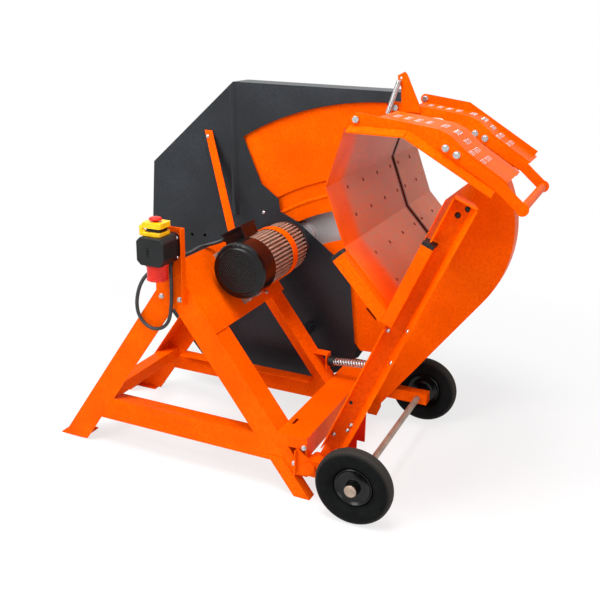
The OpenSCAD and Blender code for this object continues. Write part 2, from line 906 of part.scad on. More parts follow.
module blade_clamp() {
    color(STEEL)
        difference() {
            union() {
                rod(arbor, blade_f - 14, blade_f - seam, clamp_d / 2);
                rod(arbor, blade_b + seam, blade_b + 10, clamp_d / 2);
                translate([arbor[0], blade_b + 21, arbor[1]])
                    rotate([90, 0, 0])
                        cylinder(h = 12, r = 25, $fn = 6);
            }
            rod(arbor, blade_f - 20, shaft_end + 1, bore_d / 2 + seam / 2);
        }
}

// Cradle

module front_arm() {
    y1 = arm_y + arm_d;
    flare = arm_t * norm([arm_splay, arm_d]) / arm_d;
    color(ORANGE)
        difference() {
            union() {
                arm_frame()
                    translate([0, 0, 75])
                        linear_extrude(arm_l - 75)
                            polygon([[-arm_t, arm_y], [0, arm_y], [0, web_y], [arm_w - arm_t, web_y],
                                [arm_w + arm_splay - flare, arm_y], [arm_w + arm_splay, arm_y], [arm_w, y1],
                                [-arm_t, y1]]);
                sheet(web_y + 0.5, y1 - 0.5, concat([on_arm(arm_w - 8, 100), on_arm(-2, 100),
                    on_arm(-2, 30)], arc(pivot, 26, 180 - arm_lean, 360 - arm_lean, 18)));
                rod(pivot, web_y - 8, y1 + 8, 22);
            }
            rod(pivot, web_y - 20, y1 + 20, pivot_d / 2 + bore_gap);
            arm_frame()
                translate([-60, 0, trough_seat - 60])
                    cube([60 + tube_u + tube_w + 1, web_y, 300]);
        }
}

function left_tube(m) = let (p = clear_pts[2] + 13 * floor_dir, q = clear_pts[3] - 2 * seam * floor_dir,
    k = 1 / -(arm_s * floor_out)) [
    p + m * floor_out, q + m * floor_out - m * floor_dir, q - (tube_w + 4 - m) * k * arm_s - m * floor_dir,
    p + (tube_w + 4 - m) * floor_out];

module v_frame() {
    color(ORANGE) {
        arm_frame()
            difference() {
                translate([tube_u, tube_y0, trough_seat - 44])
                    cube([tube_w, tube_y1 - tube_y0, 265]);
                translate([tube_u + 3, tube_y0 + 3, trough_seat - 41])
                    cube([tube_w - 6, tube_y1 - tube_y0 - 6, 300]);
            }
        difference() {
            sheet(tube_y0, tube_y1, left_tube(0));
            sheet(tube_y0 + 3, tube_y1 - 3, concat([left_tube(3)[0] - 20 * floor_dir], [left_tube(3)[1],
                left_tube(3)[2]], [left_tube(3)[3] - 20 * floor_dir]));
        }
    }
}

module tube_end_caps() {
    p = clear_pts[2] + 1.4 * floor_dir;
    q = clear_pts[2] + (13 - seam) * floor_dir;
    color(BLACK) {
        arm_frame()
            translate([tube_u, tube_y0, trough_seat + 221 + seam])
                cube([tube_w, tube_y1 - tube_y0, 12]);
        sheet(tube_y0, tube_y1, [p, q, q + (tube_w + 4) * floor_out, p + (tube_w + 4) * floor_out]);
    }
}

module front_trough() {
    color(ORANGE)
        sheet(trough_y, slot_f, folded(trough_pts, -sheet_t));
}

module rear_trough() {
    color(ORANGE)
        sheet(slot_b, trough_end, folded(trough_pts, -sheet_t));
}

function shroud_tip() = shift([[-7, 16], [-20, -4], [-12, -28], [13, -46], [26, -44]], pivot);
function shroud_outline() = concat(shroud_tip(), arc(shroud_c, shroud_r, shroud_a, 75, 28),
    arc(pivot, shroud_out, 87, shroud_left, 20), [at(pivot, 500, shroud_left)],
    shift([[-67, 156], [60, 161]], pivot));
function shaft_slot() = concat(arc(pivot, slot_in, shroud_left + 2, 94, 20),
    [at(pivot, (slot_in + slot_out) / 2, 90.5)], arc(pivot, slot_out, 94, shroud_left + 2, 20));
function trough_room() = concat([clear_pts[0] + 190 * unit(trough_a - trough_b)], clear_pts,
    [clear_pts[4] + 190 * arm_s]);
function low_cut() = [[pivot_x - 400, pivot_z - 200], [pivot_x + 800, pivot_z - 200],
    [pivot_x + 800, pivot_z + 70], [pivot_x - 400, pivot_z + 70]];

module shroud_front_plate() {
    y0 = plate_f;
    y1 = plate_f + plate_t;
    color(ORANGE)
        difference() {
            union() {
                sheet(y0, y1, shroud_outline());
                rod(pivot, y0 - 10, y1, 22);
            }
            sheet(y0 - 1, y1 + 1, shaft_slot());
            sheet(y0 - 1, y1 + 1, trough_room());
            sheet(y0 - 1, y1 + 1, shift([[-54, 327], [-36, 340], [2, 304], [-14, 288]], pivot));
            rod(pivot, y0 - 11, y1 + 1, pivot_d / 2 + bore_gap);
        }
}

module shroud_rear_plate() {
    y0 = plate_b;
    y1 = plate_b + plate_t;
    color(ORANGE)
        difference() {
            sheet(y0, y1, shroud_outline());
            sheet(y0 - 1, y1 + 1, shaft_slot());
            sheet(y0 - 1, y1 + 1, trough_room());
            sheet(y0 - 1, y1 + 1, low_cut());
        }
}

module shroud_rim() {
    foot = shroud_tip()[4];
    bend = at(shroud_c, shroud_r, shroud_a);
    start = foot + (bend - foot) * 0.27;
    color(ORANGE)
        sheet(plate_f + plate_t + seam, plate_b - seam,
            folded(concat([start], arc(shroud_c, shroud_r, shroud_a, 34, 24)), plate_t));
}

function ear_pt(p) = let (d = unit(trough_a - trough_b)) trough_a - p[0] * left_of(-d) + p[1] * d;

module lid_ears() {
    g = sheet_t + seam;
    color(ORANGE) {
        difference() {
            for (y = [claw_y + claw_t + run, rear_claw_y + claw_t + run]) {
                sheet(y, y + 4, [for (p = [[g, -46], [22, -46], [22, 4], [-12, 50], [-36, 26], [-14, seam],
                    [g, seam]]) ear_pt(p)]);
                rod(hinge, y, y + 4, 15);
            }
            rod(hinge, claw_y, rear_claw_y + 20, hinge_d / 2 + seam / 2);
        }
        sheet(mast_y - 12, mast_y - 8, [for (p = [[g, -30], [14, -30], [14, 4], [-8, 14], [-16, 8],
            [-8, seam], [g, seam]]) ear_pt(p)]);
    }
}

module bolt(p, y0, y1, r) {
    rod(p, y0, y1, r);
    translate([p[0], y0, p[1]])
        rotate([90, 0, 0])
            cylinder(h = 6, r = r * 1.7, $fn = 6);
}

module cradle_bolts() {
    color(STEEL) {
        bolt(hinge, claw_y - run, claw_y + claw_t + run + 9, hinge_d / 2);
        bolt(hinge, rear_claw_y - run, rear_claw_y + claw_t + run + 9, hinge_d / 2);
        rod(lever_c, arm_y + arm_d + seam, 69 + run, 8);
        rod(lever_c, 69 + run, 75, 13);
    }
}

// Hold-down lid

LOWER = [[-17, -21], [148, -23], [393, -159]];
UPPER = [[425, -132], [313, -63], [266, -24], [231, -10], [9, 18]];
TREAD = [[64, 11], [231, -10], [266, -24], [313, -63], [425, -132]];
SLOTS = [[229, -10, 7], [266, -24, 28], [294, -47, 40], [321, -68, 32], [353, -88, 32]];

module claw(y0, depth) {
    difference() {
        union() {
            sheet(y0, y0 + claw_t, lid(concat(LOWER, UPPER)));
            rod(hinge, y0, y0 + claw_t, 19);
            sheet(y0, y0 + depth, folded(lid(TREAD), -claw_t));
        }
        rod(hinge, y0 - 1, y0 + claw_t + 1, hinge_d / 2 + bore_gap);
        for (i = [0:4])
            for (row = i > 2 ? [0.11, 0.23, 0.42, 0.55, 0.68] : [0.42, 0.55, 0.68])
                translate([hinge[0] + SLOTS[i][0], y0 + depth * row, hinge[1] + SLOTS[i][1]])
                    rotate([0, SLOTS[i][2], 0])
                        translate([-10, -4, -12])
                            cube([20, 8, 24]);
    }
}

module front_claw() {
    color(ORANGE) {
        claw(claw_y, front_claw_d);
        for (i = [0:1])
            hull() {
                sheet(claw_y, claw_y + 1, folded(lid([LOWER[i], LOWER[i + 1]]), claw_t));
                sheet(claw_y - 25, claw_y - 24,
                    folded(shift(lid([LOWER[i], LOWER[i + 1]]), [-4, -14]), claw_t));
            }
    }
}

module rear_claw() {
    y1 = rear_claw_end;
    color(ORANGE) {
        claw(rear_claw_y, rear_claw_d);
        sheet(y1 - claw_t, y1, lid([[50, 4], [52, 30], [69, 35], [204, 18], [426, -116], [415, -134],
            [266, -33], [231, -19]]));
        rod(hinge + [60, 21], y1 - claw_t, y1, 15);
    }
}

module handle_bar(y1) {
    line = [handle_c, hinge + [410, -148], hinge + [238, -44]];
    sheet(y1 - claw_t, y1, folded(fold_side(line, bar_w / 2), -bar_w));
    rod(handle_c, y1 - claw_t, y1, bar_w / 2 + 3);
}

module handle_arms() {
    color(ORANGE) {
        handle_bar(claw_y - seam);
        handle_bar(rear_claw_y - seam);
    }
}

module handle_grip() {
    color(ORANGE)
        rod(handle_c, claw_y, rear_claw_y - claw_t - 2 * seam, grip_d / 2);
}

module spring_mast() {
    color(ORANGE)
        difference() {
            sheet(mast_y, mast_y + 6, lid([[22, -11], [82, -10], [77, 12], [33, 101], [25, 109],
                [3, 97], [5, 85], [16, 62]]));
            rod(hinge + [14, 90], mast_y - 1, mast_y + 7, 4);
        }
}

module lid_spring() {
    p = ear_pt([-9, 8]);
    q = hinge + [14, 90];
    dir = unit(q - p);
    a = p + 6 * dir;
    b = q - 6 * dir;
    y = mast_y - 10;
    color(STEEL)
        coil([a[0], y, a[1]], [b[0], y, b[1]], 6.5, 1.5, 15, 10, 6);
}

// Lock lever

module lock_lever() {
    color(RED)
        difference() {
            sheet(64, 69, shift([[-31, -222], [31, -222], [31, -196], [5, -196], [5, -156], [31, -156],
                [31, -20], [14, 14], [-14, 14], [-31, -20]], lever_c));
            rod(lever_c, 63, 70, 8 + bore_gap);
        }
}

home() {
    front_left_leg();
    rear_left_leg();
    front_right_leg();
    rear_right_leg();
    left_feet();
    right_feet();
    front_rail();
    rear_rail();
    left_cross_bar();
    pivot_beam();
    pivot_gussets();
    pivot_pins();
    axle_arms();
    wheel_axle();
    motor_plate();
    motor_housing();
    motor_fan_cover();
    motor_end_shield();
    motor_terminal_box();
    motor_strap();
    guard_front_sheet();
    guard_rear_sheet();
    guard_rim();
    guard_standoffs();
    guard_strut();
    switch_bracket();
    switch_box();
    stop_base();
    power_inlet();
    cable_glands();
    motor_cable();
    spring_bracket();
    return_spring();
    saw_blade();
    arbor_shaft();
    blade_clamp();
    front_tyre();
    front_wheel_rim();
    rear_tyre();
    rear_wheel_rim();
    front_arm();
    v_frame();
    tube_end_caps();
    front_trough();
    rear_trough();
    shroud_front_plate();
    shroud_rear_plate();
    shroud_rim();
    spring_lug();
    lid_ears();
    cradle_bolts();
    lid_spring();
    front_claw();
    rear_claw();
    handle_arms();
    handle_grip();
    spring_mast();
    lock_lever();
    stop_flap();
    stop_button();
}
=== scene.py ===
# %% [markdown]
# A log saw with a rocking cradle, dressed for its picture
#
# A log lies in the orange trough. The operator pulls the handle, the trough rocks
# about a pin near the floor, and the log meets a blade that stays where it is.
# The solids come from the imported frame. This lesson gives them their finishes and
# adds the small things that a drawing in solids leaves out: bolts, wire, tread.

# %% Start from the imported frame
import json

import bmesh
import bpy
import numpy as np
from mathutils import Matrix


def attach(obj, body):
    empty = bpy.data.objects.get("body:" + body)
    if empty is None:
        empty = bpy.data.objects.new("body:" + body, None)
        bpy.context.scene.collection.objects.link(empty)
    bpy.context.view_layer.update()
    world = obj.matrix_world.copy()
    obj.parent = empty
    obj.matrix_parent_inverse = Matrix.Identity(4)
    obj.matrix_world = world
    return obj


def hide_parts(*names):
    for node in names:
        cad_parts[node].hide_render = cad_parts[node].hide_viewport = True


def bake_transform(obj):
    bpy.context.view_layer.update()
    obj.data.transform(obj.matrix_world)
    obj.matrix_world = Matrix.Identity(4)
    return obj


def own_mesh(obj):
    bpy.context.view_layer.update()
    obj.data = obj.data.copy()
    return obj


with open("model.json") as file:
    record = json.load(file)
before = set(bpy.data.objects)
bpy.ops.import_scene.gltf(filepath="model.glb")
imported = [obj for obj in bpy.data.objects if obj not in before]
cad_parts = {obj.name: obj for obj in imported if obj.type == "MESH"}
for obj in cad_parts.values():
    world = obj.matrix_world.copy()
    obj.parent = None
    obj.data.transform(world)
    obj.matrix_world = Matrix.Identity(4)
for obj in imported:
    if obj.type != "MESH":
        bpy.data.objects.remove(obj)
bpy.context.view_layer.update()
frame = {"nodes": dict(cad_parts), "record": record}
nodes = frame["nodes"]

# %% [markdown]
# Places are easiest to read in the workshop's own millimetres, measured from the
# left foot of the frame. One function turns them into the frame's metres. The pivot
# pin, the motor's shaft and the lid's hinge come up again and again, as (x, z), and so
# do the two directions of the leaning arm: across it and up it.

# %% Workshop millimetres to metres
FOOT = np.array([770.4528, 417.8, 0.0])


def shop(points):
    """Frame metres of workshop millimetres: (point - foot) / 1000."""
    return (np.asarray(points, float) - FOOT) / 1000


PIVOT = np.array([992.0, 124.0])
LEAN = np.radians(23.0)
ARM_U = np.array([np.cos(LEAN), -np.sin(LEAN)])
ARM_S = np.array([np.sin(LEAN), np.cos(LEAN)])
ARBOR = np.array([663.046, 687.093])
HINGE = np.array([1077.906, 1209.051])
print("pivot at", shop([PIVOT[0], 0, PIVOT[1]]))

# %% [markdown]
# The camera comes first. It stands to the right of the machine, a little above the
# handle, and looks down at it: a short tele view, so upright lines hardly converge.

# %% Camera
EYE = (1.09495, -2.5076, 1.4818)
RIGHT = np.array([0.9113, 0.4113, 0.0195])
UP = np.array([-0.1537, 0.2957, 0.9428])
LENS = 48.92
SENSOR = 36.0
camera = bpy.data.objects.new("view", bpy.data.cameras.new("view"))
bpy.context.scene.collection.objects.link(camera)
camera.data.lens = LENS
camera.data.sensor_width = SENSOR
turn = np.eye(4)
turn[:3, 0] = RIGHT
turn[:3, 1] = UP
turn[:3, 2] = np.cross(RIGHT, UP)
turn[:3, 3] = EYE
camera.matrix_world = Matrix(turn.tolist())
bpy.context.scene.camera = camera
print("camera at", EYE)

# %% [markdown]
# Every new piece is a grid of points worked out with numpy. A grid has rows along
# one parameter and columns along the other. Points that fall together, at a pole
# or at a closing seam, are merged, so that the skin has no hole. Edges that turn by
# more than SHARP stay crisp.

# %% From a grid of points to a mesh
SHARP = np.radians(35)


def grid_faces(rows, columns):
    """Corner numbers of the quads between neighbouring rows and columns."""
    i, j = np.meshgrid(np.arange(rows - 1), np.arange(columns - 1), indexing="ij")
    a = (i * columns + j).ravel()
    return np.stack([a, a + 1, a + 1 + columns, a + columns], axis=1)


def skin(name, grids, body, finish, replaces=()):
    """One closed piece from grids (count, rows, columns, 3) that share a shape.

    Points are merged to a micrometre. A quad that lost a corner becomes a triangle.
    """
    grids = np.asarray(grids, float)
    grids = grids[None] if grids.ndim == 3 else grids
    count, rows, columns = grids.shape[:3]
    quads = grid_faces(rows, columns)
    quads = (np.arange(count)[:, None, None] * rows * columns + quads).reshape(-1, 4)
    points = np.round(grids.reshape(-1, 3), 6)
    points, index = np.unique(points, axis=0, return_inverse=True)
    quads = index.reshape(-1)[quads]
    same = quads == np.roll(quads, -1, axis=1)
    lost = same.sum(axis=1)
    triangles = quads[lost == 1][~same[lost == 1]].reshape(-1, 3)
    faces = quads[lost == 0].tolist() + triangles.tolist()
    mesh = bpy.data.meshes.new(name)
    mesh.from_pydata(points.tolist(), [], faces)
    work = bmesh.new()
    work.from_mesh(mesh)
    bmesh.ops.recalc_face_normals(work, faces=work.faces)
    work.to_mesh(mesh)
    work.free()
    mesh.polygons.foreach_set("use_smooth", np.ones(len(mesh.polygons), bool))
    mesh.set_sharp_from_angle(angle=SHARP)
    mesh.materials.append(finish)
    piece = bpy.data.objects.new(name, mesh)
    bpy.context.scene.collection.objects.link(piece)
    if body:
        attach(piece, body)
    if replaces:
        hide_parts(*replaces)
    print(name, len(points), "points on", body)
    return piece


# %% [markdown]
# Colours are written as on a paint card, in sRGB hex. Blender works in linear light,
# so one function turns them.

# %% Colours


def linear(code):
    """Linear RGBA of an sRGB hex code, by the sRGB curve."""
    c = np.array([int(code[k:k + 2], 16) for k in (1, 3, 5)]) / 255
    c = np.where(c <= 0.04045, c / 12.92, ((c + 0.055) / 1.055) ** 2.4)
    return (*c.tolist(), 1.0)


print("white is", linear("#ffffff"))

# %% [markdown]
# One small function adds a node with its settings and its links, and every finish
# below is a handful of such lines. Patterns are noise in Object coordinates, in metres,
# so a scale of MM / 160 makes patches about 160 mm across.

# %% Nodes
MM = 1000.0


def feed(tree, node, values):
    """Set a node's inputs, each to a value or to a socket of another node."""
    for key, value in values.items():
        if isinstance(value, bpy.types.NodeSocket):
            tree.links.new(value, node.inputs[key])
        else:
            node.inputs[key].default_value = value


def put(tree, kind, values=None, stops=(), **settings):
    """A new node: settings are its properties, values its inputs.

    stops are a colour ramp's (position, hex code).
    """
    made = tree.nodes.new(kind)
    for key, value in settings.items():
        setattr(made, key, value)
    for k, (position, code) in enumerate(stops):
        ramp = made.color_ramp.elements
        element = ramp[k] if k < len(ramp) else ramp.new(position)
        element.position, element.color = position, linear(code)
    feed(tree, made, values or {})
    return made


def finish_of(name):
    """An empty finish: its tree, its Principled shader and its Object coordinates."""
    material = bpy.data.materials.new(name)
    material.use_nodes = True
    tree = material.node_tree
    shader = next(n for n in tree.nodes if n.type == "BSDF_PRINCIPLED")
    place = put(tree, "ShaderNodeTexCoord").outputs["Object"]
    return material, tree, shader, place


print("noise of 1 mm has scale", MM)

# %% [markdown]
# Orange powder coat. Powder is sprayed on dry and baked, so it flows into a glossy
# skin with a fine orange-peel ripple a few millimetres across. Handling leaves a
# slightly duller, redder tone in broad patches. The IOR is low on purpose: the room is
# white on all sides, and at the real value each flat face would wear a white veil.

# %% Orange powder coat
orange, tree, shader, place = finish_of("orange_powder_coat")
patch = put(tree, "ShaderNodeTexNoise", {"Vector": place, "Scale": MM / 160, "Detail": 4.0})
speck = put(tree, "ShaderNodeTexNoise", {"Vector": place, "Scale": MM / 9, "Detail": 3.0})
tone = put(tree, "ShaderNodeMath",
           {0: patch.outputs["Fac"], 1: speck.outputs["Fac"]}, operation="MULTIPLY")
colour = put(tree, "ShaderNodeValToRGB", {"Fac": tone.outputs[0]},
             stops=[(0.12, "#de4d00"), (0.26, "#ec5600"), (0.42, "#f46200")])
gloss = put(tree, "ShaderNodeMapRange",
            {"Value": patch.outputs["Fac"], "To Min": 0.26, "To Max": 0.4})
peel = put(tree, "ShaderNodeTexNoise", {"Vector": place, "Scale": MM / 3.5, "Detail": 2.0})
bump = put(tree, "ShaderNodeBump",
           {"Height": peel.outputs["Fac"], "Strength": 0.12, "Distance": 0.0004})
feed(tree, shader, {"Base Color": colour.outputs["Color"], "Roughness": gloss.outputs["Result"],
                    "Normal": bump.outputs["Normal"], "IOR": 1.08})
print(orange.name)

# %% [markdown]
# The trough has the same powder coat, but logs slide along it. Inside, bark rubs the
# paint in streaks that run with the logs. The pale colour there is also painted
# reflection: the sheen of the white room on the glossy inner faces. The mouth and the
# outside stay as sprayed.
# A face is inside where it looks towards the trough's middle line, which the dot
# product of its normal and the way to that line tells.

# %% Where the trough is rubbed and where its sheen is painted
MIDDLE = shop([1170, 0, 1010])
MOUTH = shop([[0, 135, 0], [0, 205, 0]])[:, 1]
rubbed_and_sheen, tree, shader, place = finish_of("rubbed_and_sheen_powder_coat")
inward = put(tree, "ShaderNodeVectorMath", {0: (MIDDLE[0], 0, MIDDLE[2]), 1: place},
             operation="SUBTRACT")
flat = put(tree, "ShaderNodeVectorMath", {0: inward.outputs[0], 1: (1, 0, 1)},
           operation="MULTIPLY")
look = put(tree, "ShaderNodeTexCoord").outputs["Normal"]
face = put(tree, "ShaderNodeVectorMath", {0: flat.outputs[0], 1: look}, operation="DOT_PRODUCT")
inside = put(tree, "ShaderNodeMapRange",
             {"Value": face.outputs["Value"], "From Min": 0.02, "From Max": 0.06})
grain = put(tree, "ShaderNodeMapping", {"Vector": place, "Scale": (1, 0.12, 1)})
streak = put(tree, "ShaderNodeTexNoise",
             {"Vector": grain.outputs["Vector"], "Scale": MM / 7, "Detail": 6.0})
wear_and_sheen = put(tree, "ShaderNodeMapRange", {"Value": streak.outputs["Fac"], "From Min": 0.3,
                                        "From Max": 0.7, "To Min": 0.45, "To Max": 0.85})
depth = put(tree, "ShaderNodeSeparateXYZ", {0: place})
mouth = put(tree, "ShaderNodeMapRange",
            {"Value": depth.outputs["Y"], "From Min": MOUTH[0], "From Max": MOUTH[1]},
            interpolation_type="SMOOTHSTEP")
share = put(tree, "ShaderNodeMath", {0: inside.outputs["Result"], 1: wear_and_sheen.outputs["Result"]},
            operation="MULTIPLY")
share = put(tree, "ShaderNodeMath", {0: share.outputs[0], 1: mouth.outputs["Result"]},
            operation="MULTIPLY")
print("rubbed behind y =", MOUTH)

# %% [markdown]
# Where it is rubbed, the orange turns pale. This is partly dusty wear and partly painted
# reflection of the white room. Resin darkens both edges of the gap that the blade
# comes through, by the distance from the blade's plane.

# %% Rubbed powder coat with painted sheen
BLADE_Y = shop([0, 646, 0])[1]
patch = put(tree, "ShaderNodeTexNoise", {"Vector": place, "Scale": MM / 160, "Detail": 4.0})
fresh = put(tree, "ShaderNodeValToRGB", {"Fac": patch.outputs["Fac"]},
            stops=[(0.35, "#de4d00"), (0.5, "#ec5600"), (0.65, "#f46200")])
# The pale #bb8870 stands for rubbed wear and painted reflection of the white room together.
colour = put(tree, "ShaderNodeMix",
             {0: share.outputs[0], 6: fresh.outputs["Color"], 7: linear("#bb8870")},
             data_type="RGBA")
gap = put(tree, "ShaderNodeMath", {0: depth.outputs["Y"], 1: BLADE_Y}, operation="SUBTRACT")
gap = put(tree, "ShaderNodeMath", {0: gap.outputs[0]}, operation="ABSOLUTE")
pitch = put(tree, "ShaderNodeMapRange",
            {"Value": gap.outputs[0], "From Min": 0.014, "From Max": 0.024,
             "To Min": 0.85, "To Max": 0.0}, interpolation_type="SMOOTHSTEP")
colour = put(tree, "ShaderNodeMix",
             {0: pitch.outputs["Result"], 6: colour.outputs[2], 7: linear("#2e1a12")},
             data_type="RGBA")
gloss = put(tree, "ShaderNodeMapRange",
            {"Value": streak.outputs["Fac"], "To Min": 0.2, "To Max": 0.42})
bump = put(tree, "ShaderNodeBump",
           {"Height": streak.outputs["Fac"], "Strength": 0.15, "Distance": 0.0004})
feed(tree, shader, {"Base Color": colour.outputs[2], "Roughness": gloss.outputs["Result"],
                    "Normal": bump.outputs["Normal"], "IOR": 1.15})
print(rubbed_and_sheen.name)

# %% [markdown]
# Black powder coat on the blade guard. It is the same process with a half-matt
# powder: a charcoal skin that shows a broad soft reflection, and a little dust.

# %% Black powder coat
black, tree, shader, place = finish_of("black_powder_coat")
patch = put(tree, "ShaderNodeTexNoise", {"Vector": place, "Scale": MM / 220, "Detail": 5.0})
dust = put(tree, "ShaderNodeTexNoise", {"Vector": place, "Scale": MM / 4, "Detail": 4.0})
tone = put(tree, "ShaderNodeMath",
           {0: patch.outputs["Fac"], 1: dust.outputs["Fac"]}, operation="MULTIPLY")
colour = put(tree, "ShaderNodeValToRGB", {"Fac": tone.outputs[0]},
             stops=[(0.12, "#17191c"), (0.27, "#202429"), (0.45, "#2b3035")])
gloss = put(tree, "ShaderNodeMapRange",
            {"Value": patch.outputs["Fac"], "To Min": 0.3, "To Max": 0.45})
peel = put(tree, "ShaderNodeTexNoise", {"Vector": place, "Scale": MM / 3, "Detail": 2.0})
bump = put(tree, "ShaderNodeBump",
           {"Height": peel.outputs["Fac"], "Strength": 0.15, "Distance": 0.0004})
feed(tree, shader, {"Base Color": colour.outputs["Color"], "Roughness": gloss.outputs["Result"],
                    "Normal": bump.outputs["Normal"], "IOR": 1.35})
print(black.name)

# %% [markdown]
# Red gloss enamel on the lock lever: brushed or dipped, so thicker and shinier
# than powder, with a deeper tone where it runs.

# %% Red gloss enamel
red, tree, shader, place = finish_of("red_gloss_enamel")
patch = put(tree, "ShaderNodeTexNoise", {"Vector": place, "Scale": MM / 60, "Detail": 3.0})
colour = put(tree, "ShaderNodeValToRGB", {"Fac": patch.outputs["Fac"]},
             stops=[(0.3, "#d21a0c"), (0.7, "#ec2f14")])
runs = put(tree, "ShaderNodeTexNoise", {"Vector": place, "Scale": MM / 8, "Detail": 1.0})
bump = put(tree, "ShaderNodeBump",
           {"Height": runs.outputs["Fac"], "Strength": 0.1, "Distance": 0.0006})
feed(tree, shader, {"Base Color": colour.outputs["Color"], "Normal": bump.outputs["Normal"],
                    "Roughness": 0.24, "IOR": 1.5})
print(red.name)

# %% [markdown]
# Moulded black plastic: switch box, cable glands, end caps, spring cup. ABS and nylon
# come out of an eroded mould with a fine grain, which turns highlights into a haze.

# %% Moulded black plastic
plastic, tree, shader, place = finish_of("moulded_black_plastic")
patch = put(tree, "ShaderNodeTexNoise", {"Vector": place, "Scale": MM / 45, "Detail": 4.0})
colour = put(tree, "ShaderNodeValToRGB", {"Fac": patch.outputs["Fac"]},
             stops=[(0.3, "#101112"), (0.7, "#191a1b")])
grain = put(tree, "ShaderNodeTexNoise", {"Vector": place, "Scale": MM / 1.6, "Detail": 2.0})
bump = put(tree, "ShaderNodeBump",
           {"Height": grain.outputs["Fac"], "Strength": 0.3, "Distance": 0.0003})
gloss = put(tree, "ShaderNodeMapRange",
            {"Value": patch.outputs["Fac"], "To Min": 0.34, "To Max": 0.5})
feed(tree, shader, {"Base Color": colour.outputs["Color"], "Normal": bump.outputs["Normal"],
                    "Roughness": gloss.outputs["Result"], "IOR": 1.35})
print(plastic.name)

# %% [markdown]
# Cast aluminium motor body. The ribs are cast and lightly blasted, so the metal is
# grey with a satin haze. The grey is tinted warm brown as painted reflection of the
# orange around it. The dull bare axle looks much the same.

# %% Cast aluminium
alloy, tree, shader, place = finish_of("cast_aluminium")
patch = put(tree, "ShaderNodeTexNoise", {"Vector": place, "Scale": MM / 30, "Detail": 5.0})
# The warm brown in both stops is painted reflection of the orange frame.
colour = put(tree, "ShaderNodeValToRGB", {"Fac": patch.outputs["Fac"]},
             stops=[(0.3, "#8d7a6c"), (0.7, "#b09a88")])
blast = put(tree, "ShaderNodeTexNoise", {"Vector": place, "Scale": MM / 1.8, "Detail": 3.0})
bump = put(tree, "ShaderNodeBump",
           {"Height": blast.outputs["Fac"], "Strength": 0.35, "Distance": 0.0003})
feed(tree, shader, {"Base Color": colour.outputs["Color"], "Normal": bump.outputs["Normal"],
                    "Metallic": 0.25, "Roughness": 0.42})
print(alloy.name)

# %% [markdown]
# Tyre rubber: carbon black in a matt skin. The tread is a lighter brownish grey than
# the walls, so the colour follows the distance from the axle.

# %% Tyre rubber
WHEEL = (1154.0, 125.0)
rubber, tree, shader, place = finish_of("tyre_rubber")
patch = put(tree, "ShaderNodeTexNoise", {"Vector": place, "Scale": MM / 25, "Detail": 6.0})
colour = put(tree, "ShaderNodeValToRGB", {"Fac": patch.outputs["Fac"]},
             stops=[(0.3, "#090a0a"), (0.7, "#121313")])
axle_x, _, axle_z = shop([WHEEL[0], 0, WHEEL[1]])
spoke = put(tree, "ShaderNodeVectorMath", {0: place, 1: (axle_x, 0, axle_z)}, operation="SUBTRACT")
spoke = put(tree, "ShaderNodeVectorMath", {0: spoke.outputs[0], 1: (1, 0, 1)}, operation="MULTIPLY")
reach = put(tree, "ShaderNodeVectorMath", {0: spoke.outputs[0]}, operation="LENGTH")
lighter_tread = put(tree, "ShaderNodeMapRange",
             {"Value": reach.outputs["Value"], "From Min": 0.112, "From Max": 0.123})
colour = put(tree, "ShaderNodeMix",
             {0: lighter_tread.outputs["Result"], 6: colour.outputs["Color"], 7: linear("#33302d")},
             data_type="RGBA")
pores = put(tree, "ShaderNodeTexNoise", {"Vector": place, "Scale": MM / 1.5, "Detail": 3.0})
bump = put(tree, "ShaderNodeBump",
           {"Height": pores.outputs["Fac"], "Strength": 0.4, "Distance": 0.0004})
gloss = put(tree, "ShaderNodeMapRange",
            {"Value": patch.outputs["Fac"], "To Min": 0.55, "To Max": 0.75})
feed(tree, shader, {"Base Color": colour.outputs[2], "Normal": bump.outputs["Normal"],
                    "Roughness": gloss.outputs["Result"], "IOR": 1.15})
print(rubber.name)

# %% [markdown]
# Black stove enamel on the pressed wheel discs and the motor's covers: smooth and
# glossy, so that a dish or a rounded rim shows a clear bright arc. The rocker of the
# switch and the arm's plug are as smooth and dark.

# %% Black stove enamel
enamel, tree, shader, place = finish_of("black_stove_enamel")
patch = put(tree, "ShaderNodeTexNoise", {"Vector": place, "Scale": MM / 30, "Detail": 4.0})
colour = put(tree, "ShaderNodeValToRGB", {"Fac": patch.outputs["Fac"]},
             stops=[(0.3, "#060607"), (0.7, "#0d0e0e")])
gloss = put(tree, "ShaderNodeMapRange",
            {"Value": patch.outputs["Fac"], "To Min": 0.16, "To Max": 0.3})
feed(tree, shader, {"Base Color": colour.outputs["Color"], "Roughness": gloss.outputs["Result"],
                    "IOR": 1.35})
print(enamel.name)

# %% [markdown]
# Bright zinc plate on bolts, pins and springs. Plating leaves a pale grey metal with
# faint clouding a few millimetres across.

# %% Bright zinc plate
zinc, tree, shader, place = finish_of("bright_zinc_plate")
cloud = put(tree, "ShaderNodeTexNoise", {"Vector": place, "Scale": MM / 6, "Detail": 4.0})
colour = put(tree, "ShaderNodeValToRGB", {"Fac": cloud.outputs["Fac"]},
             stops=[(0.3, "#a9a9a8"), (0.7, "#d2d3d3")])
gloss = put(tree, "ShaderNodeMapRange",
            {"Value": cloud.outputs["Fac"], "To Min": 0.2, "To Max": 0.42})
feed(tree, shader, {"Base Color": colour.outputs["Color"], "Roughness": gloss.outputs["Result"],
                    "Metallic": 1.0})
print(zinc.name)

# %% [markdown]
# Ground saw steel. The blade is ground while it turns, so its scratches are rings
# about the shaft. The rings come from the distance to the shaft, with a Mapping
# node that brings the shaft to the middle. Real scratches are under 0.1 mm apart;
# they are drawn 2 mm apart here so that they show.

